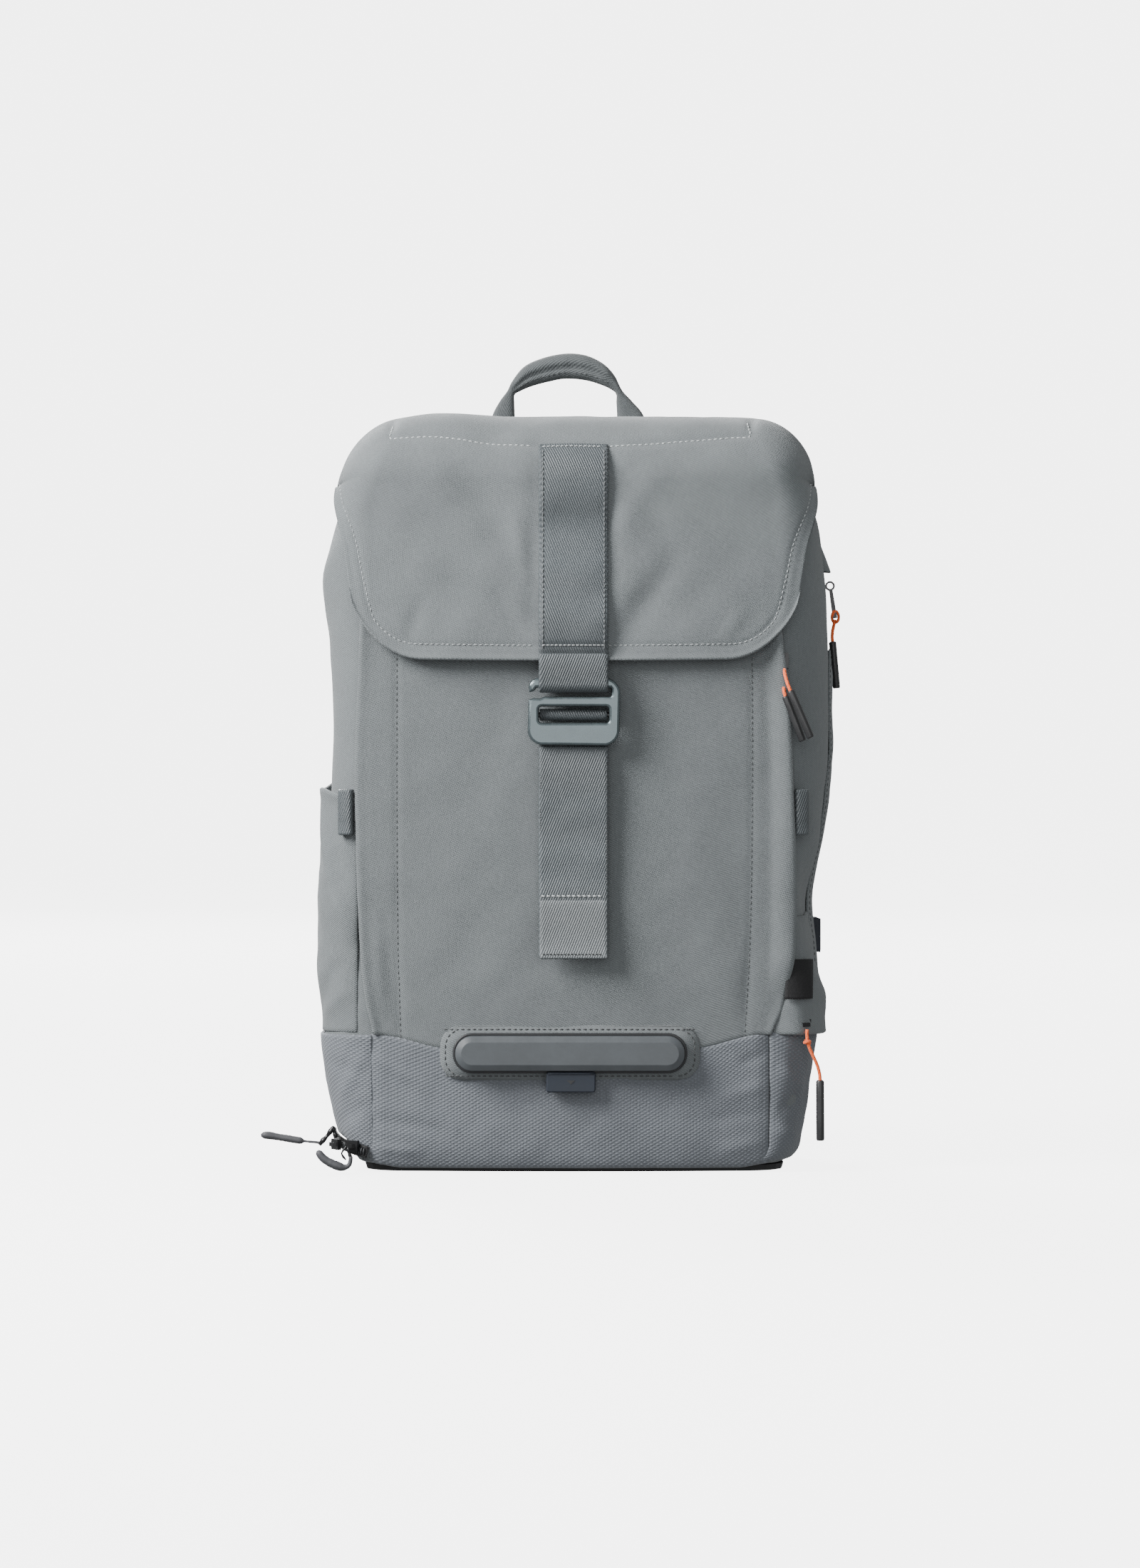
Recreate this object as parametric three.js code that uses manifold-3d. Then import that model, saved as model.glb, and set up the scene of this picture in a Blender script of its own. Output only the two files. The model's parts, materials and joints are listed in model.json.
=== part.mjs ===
// A 22 litre flap-top daypack with a metal G-hook closure, in millimetres.
// +Z is up, the flap and hook face -Y, the wearer's back is at +Y.
// The origin is the middle of the sole, on the surface that the pack stands on.
import * as THREE from 'three';
import { ConvexGeometry } from 'three/addons/geometries/ConvexGeometry.js';
import { mergeVertices } from 'three/addons/utils/BufferGeometryUtils.js';
import Module from 'manifold-3d';

const wasm = await Module();
wasm.setup();

// ---- driving dimensions ----------------------------------------------------

const HALF_LEFT = 140;          // bag body, middle to left side
const HALF_RIGHT = 147;         // the right side carries the pocket and bulges more
const FRONT = -70;              // front face at its side edges
const FRONT_BOW = 5;            // and how much further out it stands at its middle
const BACK = 70;
const FRONT_RADIUS = 28;        // upright corners
const BACK_RADIUS = 24;
const WALL = 3;                 // fabric, foam and lining together
const SOLE_THICK = 3.4;
const FLOOR = 3.8;              // underside of the bag body
const RIM = 398;                // top edge of the open bag
const BAND_TOP = 76;            // the tougher base fabric ends here
const GAP = 0.4;                // between pieces that touch

const PANEL_RIGHT = 116;        // front panel: right edge, foot and top
const PANEL_LOW = 79;
const PANEL_HIGH = 338;

const WEB_WIDE = 38;            // closure webbing
const WEB_THICK = 1.6;
const WEB_X = 2;                // the closure sits just right of the middle
const HOOK_BACK = -85;
const HOOK_DEEP = 6;
const HOOK_FOOT = 242;
const HOOK_TOP = 281;

const FLAP_HEM = 292;
const FLAP_TOP = 406;
const FLAP_HALF_LEFT = 126;     // measured round the corner, from the middle
const FLAP_HALF_RIGHT = 133;
const FLAP_CORNER = 38;
const FLAP_INNER = 8;           // offset from the bag body
const FLAP_OUTER = 11;
const LID_RIM = 408;
const LID_BACK = 66;

const BACK_PANEL_TOP = 434;

// How far each side pulls in, as [height, inset] stations with straight runs between.
const LEFT_INSET = [[3, 19], [14, 11], [30, 4], [52, 0], [340, 0], [370, 5], [400, 14], [410, 18]];
const RIGHT_INSET = [[3, 21], [14, 14], [30, 11], [57, 8], [76, 5], [99, 0], [340, 0], [370, 5],
  [400, 14], [410, 18]];
const FRONT_INSET = [[3, 6], [14, 2], [30, 0], [340, 0], [400, 4], [410, 5]];

// ---- colours ---------------------------------------------------------------

const LOOKS = {
  fabric: [0x7a8283, 0.9, 0],
  baseFabric: [0x747c82, 0.92, 0],
  webbing: [0x5d6364, 0.75, 0],
  metal: [0x59666c, 0.35, 0.9],
  blackMetal: [0x202224, 0.4, 0.8],
  rubber: [0x4a4e52, 0.7, 0],
  navyRubber: [0x2c3441, 0.65, 0],
  grip: [0x2a2b2d, 0.6, 0],
  cord: [0xff6a2b, 0.8, 0],
  plastic: [0x25272a, 0.55, 0],
  mesh: [0x3a3e41, 0.95, 0],
  sole: [0x1c1d1f, 0.8, 0],
};

const daypack = new THREE.Group();

function add(name, geometry, look) {
  const [color, roughness, metalness] = LOOKS[look];
  const mesh = new THREE.Mesh(geometry, new THREE.MeshStandardMaterial({ color, roughness, metalness }));
  mesh.name = name;
  daypack.add(mesh);
  return mesh;
}

// ---- mesh helpers ----------------------------------------------------------

function point(x, y, z) {
  return new THREE.Vector3(x, y, z);
}

function bare(geometry) {
  const plain = geometry.clone();
  plain.deleteAttribute('normal');
  plain.deleteAttribute('uv');
  return mergeVertices(plain, 1e-4);
}

function solidOf(geometry) {
  const merged = bare(geometry);
  return new wasm.Manifold(new wasm.Mesh({
    numProp: 3,
    vertProperties: Float32Array.from(merged.attributes.position.array),
    triVerts: Uint32Array.from(merged.index.array),
  }));
}

function geometryOf(solid) {
  const mesh = solid.getMesh();
  const geometry = new THREE.BufferGeometry();
  geometry.setAttribute('position', new THREE.BufferAttribute(mesh.vertProperties, 3));
  geometry.setIndex(new THREE.BufferAttribute(mesh.triVerts, 1));
  geometry.computeVertexNormals();
  return geometry;
}

function cut(geometry, ...tools) {
  return geometryOf(tools.reduce((solid, tool) => solid.subtract(solidOf(tool)), solidOf(geometry)));
}

function join(geometry, ...others) {
  return geometryOf(others.reduce((solid, other) => solid.add(solidOf(other)), solidOf(geometry)));
}

// A closed mesh from points and faces, turned so that its faces point out.
function closed(points, faces) {
  let volume = 0;
  for (const [a, b, c] of faces) {
    volume += points[a].dot(point(0, 0, 0).crossVectors(points[b], points[c]));
  }
  const order = volume < 0 ? ([a, b, c]) => [a, c, b] : (face) => face;
  const geometry = new THREE.BufferGeometry().setFromPoints(points);
  geometry.setIndex(faces.flatMap(order));
  geometry.computeVertexNormals();
  return geometry;
}

// A sheet with thickness: at(side, column, row) is a point of its outer or inner face.
function slab(columns, rows, at) {
  const points = [];
  for (const side of [0, 1]) {
    for (let i = 0; i <= columns; i++) {
      for (let j = 0; j <= rows; j++) points.push(at(side, i, j));
    }
  }
  const index = (side, i, j) => (side * (columns + 1) + i) * (rows + 1) + j;
  const faces = [];
  const quad = (a, b, c, d) => faces.push([a, b, c], [a, c, d]);
  for (let i = 0; i < columns; i++) {
    for (let j = 0; j < rows; j++) {
      quad(index(0, i, j), index(0, i + 1, j), index(0, i + 1, j + 1), index(0, i, j + 1));
      quad(index(1, i, j), index(1, i, j + 1), index(1, i + 1, j + 1), index(1, i + 1, j));
    }
  }
  for (let i = 0; i < columns; i++) {
    quad(index(0, i, 0), index(1, i, 0), index(1, i + 1, 0), index(0, i + 1, 0));
    quad(index(0, i, rows), index(0, i + 1, rows), index(1, i + 1, rows), index(1, i, rows));
  }
  for (let j = 0; j < rows; j++) {
    quad(index(0, 0, j), index(0, 0, j + 1), index(1, 0, j + 1), index(1, 0, j));
    quad(index(0, columns, j), index(1, columns, j), index(1, columns, j + 1), index(0, columns, j + 1));
  }
  return closed(points, faces);
}

// Rings of equal point counts joined in order, with flat caps or closed on itself.
function loft(rings, capped = true) {
  const count = rings[0].length;
  const points = rings.flat();
  const faces = [];
  const spans = capped ? rings.length - 1 : rings.length;
  for (let k = 0; k < spans; k++) {
    const here = k * count;
    const next = ((k + 1) % rings.length) * count;
    for (let i = 0; i < count; i++) {
      const j = (i + 1) % count;
      faces.push([here + i, here + j, next + j], [here + i, next + j, next + i]);
    }
  }
  if (capped) {
    const last = (rings.length - 1) * count;
    for (const [ring, start, flip] of [[rings[0], 0, true], [rings.at(-1), last, false]]) {
      const middle = ring.reduce((sum, p) => sum.add(p), point(0, 0, 0)).divideScalar(count);
      const centre = points.push(middle) - 1;
      for (let i = 0; i < count; i++) {
        const j = (i + 1) % count;
        faces.push(flip ? [centre, start + j, start + i] : [centre, start + i, start + j]);
      }
    }
  }
  return closed(points, faces);
}

function box(x0, x1, y0, y1, z0, z1) {
  const geometry = new THREE.BoxGeometry(x1 - x0, y1 - y0, z1 - z0);
  return geometry.translate((x0 + x1) / 2, (y0 + y1) / 2, (z0 + z1) / 2);
}

// A shape drawn in X and Z, pushed through Y from y0 to y1.
function plate(shape, y0, y1, bevel = 0, curveSegments = 5) {
  const geometry = new THREE.ExtrudeGeometry(shape, {
    depth: y1 - y0 - 2 * bevel, bevelEnabled: bevel > 0, bevelSize: bevel, bevelThickness: bevel,
    bevelOffset: -bevel, bevelSegments: 1, curveSegments,
  });
  return geometry.rotateX(Math.PI / 2).translate(0, y1 - bevel, 0);
}

function roundedRect(x0, x1, z0, z1, radius, target = new THREE.Shape()) {
  target.moveTo(x0 + radius, z0);
  target.lineTo(x1 - radius, z0).absarc(x1 - radius, z0 + radius, radius, -Math.PI / 2, 0);
  target.lineTo(x1, z1 - radius).absarc(x1 - radius, z1 - radius, radius, 0, Math.PI / 2);
  target.lineTo(x0 + radius, z1).absarc(x0 + radius, z1 - radius, radius, Math.PI / 2, Math.PI);
  target.lineTo(x0, z0 + radius).absarc(x0 + radius, z0 + radius, radius, Math.PI, 1.5 * Math.PI);
  return target;
}

// A band that follows a route in its own upright plane, wide along X.
function ribbon(route, width, thick, rounding = 0) {
  const half = width / 2;
  const deep = thick / 2;
  const outline = rounding
    ? [[-half, -deep + rounding], [-half + rounding, -deep], [half - rounding, -deep],
      [half, -deep + rounding], [half, deep - rounding], [half - rounding, deep],
      [-half + rounding, deep], [-half, deep - rounding]]
    : [[-half, -deep], [half, -deep], [half, deep], [-half, deep]];
  const rings = route.map((centre, k) => {
    const before = route[Math.max(0, k - 1)];
    const after = route[Math.min(route.length - 1, k + 1)];
    const along = after.clone().sub(before).setX(0).normalize();
    const out = point(0, -along.z, along.y);
    return outline.map(([w, n]) => centre.clone().addScaledVector(out, n).add(point(w, 0, 0)));
  });
  return loft(rings);
}

function smooth(points, steps) {
  return new THREE.CatmullRomCurve3(points, false, 'centripetal').getSpacedPoints(steps);
}

// ---- the bag body's outline ------------------------------------------------

function station(table, z) {
  const last = table.length - 1;
  if (z <= table[0][0]) return table[0][1];
  for (let k = 0; k < last; k++) {
    const [za, a] = table[k];
    const [zb, b] = table[k + 1];
    if (z <= zb) return a + (b - a) * (z - za) / (zb - za);
  }
  return table[last][1];
}

function halfAt(side, z) {
  return side < 0 ? HALF_LEFT - station(LEFT_INSET, z) : HALF_RIGHT - station(RIGHT_INSET, z);
}

function frontAt(z) {
  return FRONT + station(FRONT_INSET, z);
}

// The body's surface: s runs round the body from the front's middle, to the right.
function skin(s, z, offset) {
  const side = s < 0 ? -1 : 1;
  const half = halfAt(side, z);
  const front = frontAt(z);
  const flat = half - FRONT_RADIUS;
  const quarter = FRONT_RADIUS * Math.PI / 2;
  const run = BACK - BACK_RADIUS - front - FRONT_RADIUS;
  let a = Math.abs(s);
  if (a <= flat) {
    const bow = FRONT_BOW * (1 - (a / flat) ** 2);
    return point(side * a, front - bow - offset, z);
  }
  a -= flat;
  if (a <= quarter) {
    const angle = a / FRONT_RADIUS;
    const reach = FRONT_RADIUS + offset;
    const across = flat + reach * Math.sin(angle);
    return point(side * across, front + FRONT_RADIUS - reach * Math.cos(angle), z);
  }
  a -= quarter;
  if (a <= run) return point(side * (half + offset), front + FRONT_RADIUS + a, z);
  const angle = Math.min((a - run) / BACK_RADIUS, Math.PI / 2);
  const reach = BACK_RADIUS + offset;
  const x = half - BACK_RADIUS + reach * Math.cos(angle);
  return point(side * x, BACK - BACK_RADIUS + reach * Math.sin(angle), z);
}

// Where the body's surface passes a given number of degrees round a front corner.
function cornerS(side, degrees, z) {
  return side * (halfAt(side, z) - FRONT_RADIUS + FRONT_RADIUS * degrees * Math.PI / 180);
}

// Points of the whole outline at one height, always the same number.
function ring(z, offset) {
  const stations = [];
  for (const side of [1, -1]) {
    const flat = halfAt(side, z) - FRONT_RADIUS;
    const quarter = FRONT_RADIUS * Math.PI / 2;
    const run = BACK - BACK_RADIUS - frontAt(z) - FRONT_RADIUS;
    const backQuarter = BACK_RADIUS * Math.PI / 2;
    const half = [0, flat / 3, flat * 2 / 3, flat];
    for (let k = 1; k <= 5; k++) half.push(flat + quarter * k / 5);
    for (let k = 0; k <= 4; k++) half.push(flat + quarter + run + backQuarter * k / 4);
    stations.push(half.map((s) => skin(side * (s || 1e-9), z, offset)));
  }
  const [right, left] = stations;
  return [...right, ...left.slice(1).reverse()];
}

// A patch that lies on the body between two positions round it, from z0 to z1.
function patch(s0, s1, z0, z1, inner, outer, columns = 8, heights = null) {
  const levels = heights ?? [0, 1];
  return slab(columns, levels.length - 1, (side, i, j) => {
    const s = s0 + (s1 - s0) * i / columns;
    const z = levels[j] <= 1 ? z0 + (z1 - z0) * levels[j] : levels[j];
    return skin(s, z, side === 0 ? outer : inner);
  });
}

const BODY_LEVELS = [FLOOR, 14, 30, 52, 57, 76, 99, 340, 370, RIM];

// ---- bag body --------------------------------------------------------------

function bagBody() {
  const inside = BODY_LEVELS.slice(1).reverse();
  add('bag_shell', loft([
    ...BODY_LEVELS.map((z) => ring(z, 0)),
    ...inside.map((z) => ring(z, -WALL)),
    ring(FLOOR + WALL + 1, -WALL - 3),
  ]), 'fabric');

  add('sole_panel', loft([ring(3, -4).map((p) => p.setZ(0)), ring(3, -3).map((p) => p.setZ(SOLE_THICK))]),
    'sole');

  const bandLevels = [6, 14, 30, 52, 57, BAND_TOP];
  add('base_band', loft([
    ...bandLevels.map((z) => ring(z, 3)),
    ...bandLevels.slice().reverse().map((z) => ring(z, 0.6)),
  ], false), 'baseFabric');

  // its right edge stops short of the front zip, which the sewn edge overhangs
  const panel = [cornerS(-1, 17, 200), PANEL_RIGHT, PANEL_LOW, PANEL_HIGH, 0.6, 4];
  add('front_panel', patch(...panel, 12), 'fabric');

  add('divider_pad', plate(roundedRect(-112, 118, 14, 330, 14), 38, 43, 1), 'mesh');
  add('frame_sheet', plate(roundedRect(-100, 106, 16, 384, 20), 64.2, 66), 'plastic');
}

// ---- pockets, loops and labels --------------------------------------------

function pockets() {
  const whole = box(-148, -140.6, -40, 42, 80, 222);
  const room = box(-145.9, -130, -36.5, 38.5, 84, 230);
  add('bottle_pocket', cut(whole, room), 'fabric');

  const backTo = 78;
  const frontFrom = cornerS(1, 90, 200);
  const levels = [0, 99, 1];
  add('zip_pocket_right', patch(frontFrom + 4, frontFrom + backTo - 4, 91, 300, 0.6, 6, 6, levels), 'fabric');
}

// A flattened loop of 25 mm webbing, sewn along the edge of the front panel.
function sideLoop(name, side, degrees) {
  const base = cornerS(side, degrees, 205);
  const root = skin(base, 205, 0.7);
  const out = skin(base, 205, 1.7).sub(root);
  const ringShape = roundedRect(-5, 5, 0, 7, 2.2);
  ringShape.holes.push(roundedRect(-3.5, 3.5, 1.5, 5.5, 1.2, new THREE.Path()));
  const ringDepth = { depth: 25, bevelEnabled: false, curveSegments: 2 };
  const geometry = new THREE.ExtrudeGeometry(ringShape, ringDepth);
  const along = point(-out.y, out.x, 0);
  const basis = new THREE.Matrix4().makeBasis(along, out, along.clone().cross(out));
  basis.setPosition(root.x, root.y, along.clone().cross(out).z > 0 ? 192.5 : 217.5);
  add(name, geometry.applyMatrix4(basis), 'webbing');
}

function trims() {
  sideLoop('side_loop_left', -1, 29);
  sideLoop('side_loop_right', 1, 23);
  const tag = cornerS(1, 5, 110);
  add('label_tag', patch(tag, tag + 10.5, 99, 121, 0.8, 2, 2), 'sole');
  const tapered = [[-9, 0], [9, 0], [5, 19], [-5, 19]];
  const garage = new THREE.Shape(tapered.map(([x, y]) => new THREE.Vector2(x, y)));
  const cover = new THREE.ExtrudeGeometry(garage, { depth: 3.4, bevelEnabled: false });
  cover.applyMatrix4(new THREE.Matrix4().makeBasis(point(0, 1, 0), point(0, 0, 1), point(1, 0, 0)));
  add('zip_garage', cover.translate(147.6, 34, 346), 'fabric');
  add('side_tab_right', box(131.5, 146, 66.5, 68.3, 122, 140).translate(0, 4.6, 0), 'navyRubber');
}

// ---- light mount on the base ------------------------------------------------

const DOCK_BACK = -79.6;
const COVER_LOW = 58.6;
const COVER_HIGH = 78.4;

function lightMount() {
  const tray = plate(roundedRect(-73, 73, 53, 84, 9.5), DOCK_BACK - 2.4, DOCK_BACK);
  add('mount_dock', tray, 'baseFabric');
  const coverBack = DOCK_BACK - 2.4 - GAP;
  const cover = plate(roundedRect(-65, 65, COVER_LOW, COVER_HIGH, 9.8), coverBack - 8, coverBack, 1.6);
  add('mount_cover', cover, 'rubber');
  const tab = plate(roundedRect(-13.5, 14.5, 46.4, COVER_LOW - GAP, 1.6), coverBack - 5, coverBack, 0.6, 2);
  add('release_tab', tab, 'navyRubber');
}

// ---- closure ---------------------------------------------------------------

// A profile drawn in Y and Z, run along X from x0 to x1.
function alongX(shape, x0, x1) {
  const depth = x1 - x0;
  const geometry = new THREE.ExtrudeGeometry(shape, { depth, bevelEnabled: false, curveSegments: 5 });
  geometry.applyMatrix4(new THREE.Matrix4().makeBasis(point(0, 1, 0), point(0, 0, 1), point(1, 0, 0)));
  return geometry.translate(x0, 0, 0);
}

function gHook() {
  const outline = new THREE.Shape();
  outline.moveTo(-16, HOOK_FOOT);
  outline.lineTo(20.5, HOOK_FOOT).lineTo(28.5, 250).lineTo(28.5, 273);
  outline.quadraticCurveTo(28.5, HOOK_TOP, 20.5, HOOK_TOP);
  outline.lineTo(-20, HOOK_TOP).quadraticCurveTo(-24, HOOK_TOP, -24, 277);
  outline.lineTo(-24, 273).lineTo(-20.3, 273).lineTo(-19.6, 275.2);
  outline.lineTo(22.6, 275.2).lineTo(22.6, 270.4).lineTo(-21.5, 270.4);
  outline.quadraticCurveTo(-24, 270.4, -24, 268).lineTo(-24, 250).lineTo(-16, HOOK_FOOT);
  outline.holes.push(roundedRect(-18, 22.5, 255, 265.4, 2, new THREE.Path()));
  add('hook_frame', plate(outline, HOOK_BACK - HOOK_DEEP, HOOK_BACK, 0.9), 'metal');
}

function closure() {
  gHook();
  const x0 = WEB_X - WEB_WIDE / 2;
  const x1 = WEB_X + WEB_WIDE / 2;
  const tailBack = HOOK_BACK + 0.6 + WEB_THICK;
  const anchorBack = tailBack + GAP + WEB_THICK;

  // the bar that the adjustable strap turns round, and the strap over it
  const bar = new THREE.CylinderGeometry(1.6, 1.6, 45, 10).rotateZ(Math.PI / 2);
  add('friction_bar', bar.translate(WEB_X, HOOK_BACK + 1.9, 260.2), 'blackMetal');
  const fold = roundedRect(-88.4, anchorBack, 244, 264.9, 3.6);
  const barHole = new THREE.Path();
  barHole.absarc(HOOK_BACK + 1.9, 260.2, 2, 0, 2 * Math.PI);
  fold.holes.push(barHole);
  const behindPlate = box(x0 - 1, x1 + 1, -95, HOOK_BACK + 0.5, 240, 255.6);
  add('hook_wrap', cut(alongX(fold, x0, x1), behindPlate), 'webbing');

  add('strap_tail', box(x0, x1, tailBack - WEB_THICK, tailBack, 122.6, 240), 'webbing');
  add('strap_anchor', box(x0, x1, anchorBack - WEB_THICK, anchorBack, 112, 240.5), 'webbing');
}

// ---- flap ------------------------------------------------------------------

function flapHem(s) {
  const half = s < 0 ? FLAP_HALF_LEFT : FLAP_HALF_RIGHT;
  const into = Math.abs(s) - (half - FLAP_CORNER);
  if (into <= 0) return FLAP_HEM;
  return FLAP_HEM + FLAP_CORNER - Math.sqrt(Math.max(0, FLAP_CORNER ** 2 - into ** 2));
}

function flap() {
  const columns = 24;
  const front = slab(columns, 5, (side, i, j) => {
    const t = 2 * i / columns - 1;
    const eased = Math.sin(t * Math.PI / 2) * 0.45 + t * 0.55;
    const s = eased * (eased < 0 ? FLAP_HALF_LEFT : FLAP_HALF_RIGHT);
    const low = flapHem(s);
    const z = [low, 340, 355, 370, 388, FLAP_TOP][j];
    return skin(s, Math.max(low, z), side === 0 ? FLAP_OUTER : FLAP_INNER);
  });
  add('flap_front_panel', front, 'fabric');

  // the lid: a shallow dome, open below and behind
  const steps = [[LID_RIM, 0, 0], [418, 5, 3], [427, 14, 9], [433, 34, 24], [436, 70, 50]];
  const dome = (thick, backTo, foot) => {
    const points = [];
    for (const [z, inset, setback] of [[foot, 0, 0], ...steps]) {
      const radius = Math.max(34 - inset * 0.6 - thick, 4);
      const y = frontAt(LID_RIM) - FRONT_BOW - FLAP_OUTER + setback + thick;
      for (const side of [-1, 1]) {
        const x = halfAt(side, LID_RIM) + FLAP_OUTER - inset - thick;
        for (let k = 0; k <= 4; k++) {
          const angle = k * Math.PI / 8;
          const across = x - radius + radius * Math.sin(angle);
          const height = z - (z > foot ? thick : 0);
          points.push(point(side * across, y + radius - radius * Math.cos(angle), height));
        }
        points.push(point(side * x, backTo, z - (z > foot ? thick : 0)));
      }
    }
    return new ConvexGeometry(points);
  };
  add('flap_top_panel', cut(dome(0, LID_BACK, LID_RIM), dome(4, LID_BACK + 20, LID_RIM - 10)), 'fabric');

  const x0 = WEB_X - WEB_WIDE / 2;
  const x1 = WEB_X + WEB_WIDE / 2;
  const strapLevels = [FLAP_HEM + 0.6, 340, 370, 400, 404];
  add('flap_strap', slab(2, 4, (side, i, j) => {
    const x = x0 + (x1 - x0) * i / 2;
    const lift = FLAP_OUTER + GAP + (side === 0 ? WEB_THICK : 0);
    const y = frontAt(strapLevels[j]) - FRONT_BOW - lift;
    return point(x, y, strapLevels[j]);
  }), 'webbing');

  // the end loop, with room for the hook's bar to turn in it
  const slack = 0.9;
  const back = HOOK_BACK + slack;
  const out = HOOK_BACK - HOOK_DEEP - slack;
  const loop = roundedRect(out - WEB_THICK, back + WEB_THICK, 273.2, 291.6, 1.6);
  loop.holes.push(roundedRect(out, back, 274.8, 285, 1, new THREE.Path()));
  add('flap_loop', alongX(loop, x0, x1), 'webbing');
}

// ---- back, handle and shoulder harness --------------------------------------

function handle() {
  const arch = new THREE.Shape();
  arch.moveTo(-47, 435.4);
  arch.lineTo(-40.5, 446);
  arch.absellipse(0, 446, 40.5, 33, Math.PI, 0, true);
  arch.lineTo(47, 435.4).lineTo(31.5, 435.4).lineTo(30.5, 444);
  arch.absellipse(0, 444, 30.5, 20, 0, Math.PI, false);
  arch.lineTo(-31.5, 435.4);
  const geometry = new THREE.ExtrudeGeometry(arch, {
    depth: 14, bevelEnabled: true, bevelSize: 1.5, bevelThickness: 2, bevelOffset: -1.5,
    bevelSegments: 1, curveSegments: 10,
  });
  add('handle_loop', geometry.rotateX(Math.PI / 2).translate(0, 90.5, 0), 'fabric');
}

function backPanel() {
  add('back_panel', plate(roundedRect(-118, 124, BAND_TOP + 2, BACK_PANEL_TOP, 34), 70.6, 76, 1.2), 'fabric');
  for (const [name, side] of [['back_pad_left', -1], ['back_pad_right', 1]]) {
    const xs = [side * 10, side * 98].sort((a, b) => a - b);
    add(name, plate(roundedRect(xs[0] + 2, xs[1] + 2, 62, 396, 24), 76.6, 86.6, 3), 'mesh');
  }
}

// Stations of a shoulder strap's middle line, mirrored for the two sides.
const STRAP_ROUTE = [
  [44, 94, 404], [47, 103, 392], [51, 113, 370], [55, 119, 345], [59, 120, 318],
  [63, 120, 285], [68, 120, 250], [74, 117, 222], [80, 110, 196], [84, 104, 176],
];
const STRAP_WIDE = 58;
const STRAP_THICK = 11;
const LOCK_TOP = 170;
const LOWER_ROUTE = [[88, 99.6, 148], [96, 95, 120], [106, 89.6, 92], [114, 85, 66], [118, 83, 56]];

function harness() {
  for (const [name, side] of [['left', -1], ['right', 1]]) {
    const at = ([x, y, z]) => point(side * x + 2, y, z);
    const route = smooth(STRAP_ROUTE.map(at), 14);
    add(`shoulder_strap_${name}`, ribbon(route, STRAP_WIDE, STRAP_THICK, 3.5), 'mesh');

    const lock = roundedRect(-17, 17, -11, 11, 3);
    lock.holes.push(roundedRect(-13.5, 13.5, 2.2, 6.4, 1, new THREE.Path()));
    lock.holes.push(roundedRect(-13.5, 13.5, -6.4, -2.2, 1, new THREE.Path()));
    const frame = plate(lock, -2, 2, 0.5, 2);
    frame.rotateX(-0.2).translate(side * 86 + 2, 101.2, LOCK_TOP - 11.5);
    add(`ladder_lock_${name}`, frame, 'plastic');

    add(`lower_web_${name}`, ribbon(LOWER_ROUTE.map(([x, y, z]) => at([x, y, z - 2])), 25, 1.8), 'webbing');
  }
}

const STERNUM_Z = 300;
const STERNUM_Y = 128;

function sternumStrap() {
  const low = STERNUM_Z - 10;
  const high = STERNUM_Z + 10;
  add('sternum_web_left', box(-86, -21.5, STERNUM_Y, STERNUM_Y + 1.6, low, high), 'webbing');
  add('sternum_web_right', box(29.5, 90, STERNUM_Y, STERNUM_Y + 1.6, low, high), 'webbing');
  const middle = STERNUM_Y + 0.8;
  const shell = box(-21, 13, middle - 4.5, middle + 4.5, STERNUM_Z - 14, STERNUM_Z + 14);
  const socket = box(-15, 20, middle - 2.9, middle + 2.9, STERNUM_Z - 11, STERNUM_Z + 11);
  add('buckle_socket', cut(shell, socket), 'plastic');
  const prongs = new THREE.Shape();
  prongs.moveTo(29, 286).lineTo(29, 314).lineTo(13.4, 314).lineTo(13.4, 310);
  prongs.lineTo(-10, 310.2).lineTo(-13, 307).lineTo(-10, 305).lineTo(9, 305).lineTo(9, 302);
  prongs.lineTo(-9, 301.5).lineTo(-9, 298.5).lineTo(9, 298).lineTo(9, 295).lineTo(-10, 295);
  prongs.lineTo(-13, 293).lineTo(-10, 289.8).lineTo(13.4, 290).lineTo(13.4, 286);
  add('buckle_plug', plate(prongs, middle - 2.4, middle + 2.4), 'plastic');
}

// ---- zips ------------------------------------------------------------------

// A frame that stands on the bag: where, which way is out, and which way the zip runs.
function placement(origin, out, along) {
  const across = along.clone().cross(out);
  return new THREE.Matrix4().makeBasis(along, out, across).setPosition(origin);
}

const TAPE_WIDE = 7;
const SLIDER_LONG = 9;
const TRACK_LIFT = 0.4;

// A slider and the bow over it that the pull hangs from.
function zipSlider(name, frame) {
  const side = new THREE.Shape();
  side.moveTo(-SLIDER_LONG / 2, 2).lineTo(SLIDER_LONG / 2, 2).lineTo(SLIDER_LONG / 2, 4.1);
  side.lineTo(3, 4.4).lineTo(2.4, 6.4).lineTo(-2.4, 6.4).lineTo(-3, 4.4).lineTo(-SLIDER_LONG / 2, 4.1);
  const eye = new THREE.Path();
  eye.moveTo(-1.9, 4.6).lineTo(1.9, 4.6).lineTo(1.5, 5.7).lineTo(-1.5, 5.7);
  side.holes.push(eye);
  const body = new THREE.ExtrudeGeometry(side, { depth: 6, bevelEnabled: false }).translate(0, 0, -3);
  const shoulders = [[-4, -1.1], [1.1, 4]].map(([from, to]) => box(-6, 6, 4.2, 8, from, to));
  add(name, cut(body, ...shoulders).applyMatrix4(frame), 'blackMetal');
}

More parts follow.
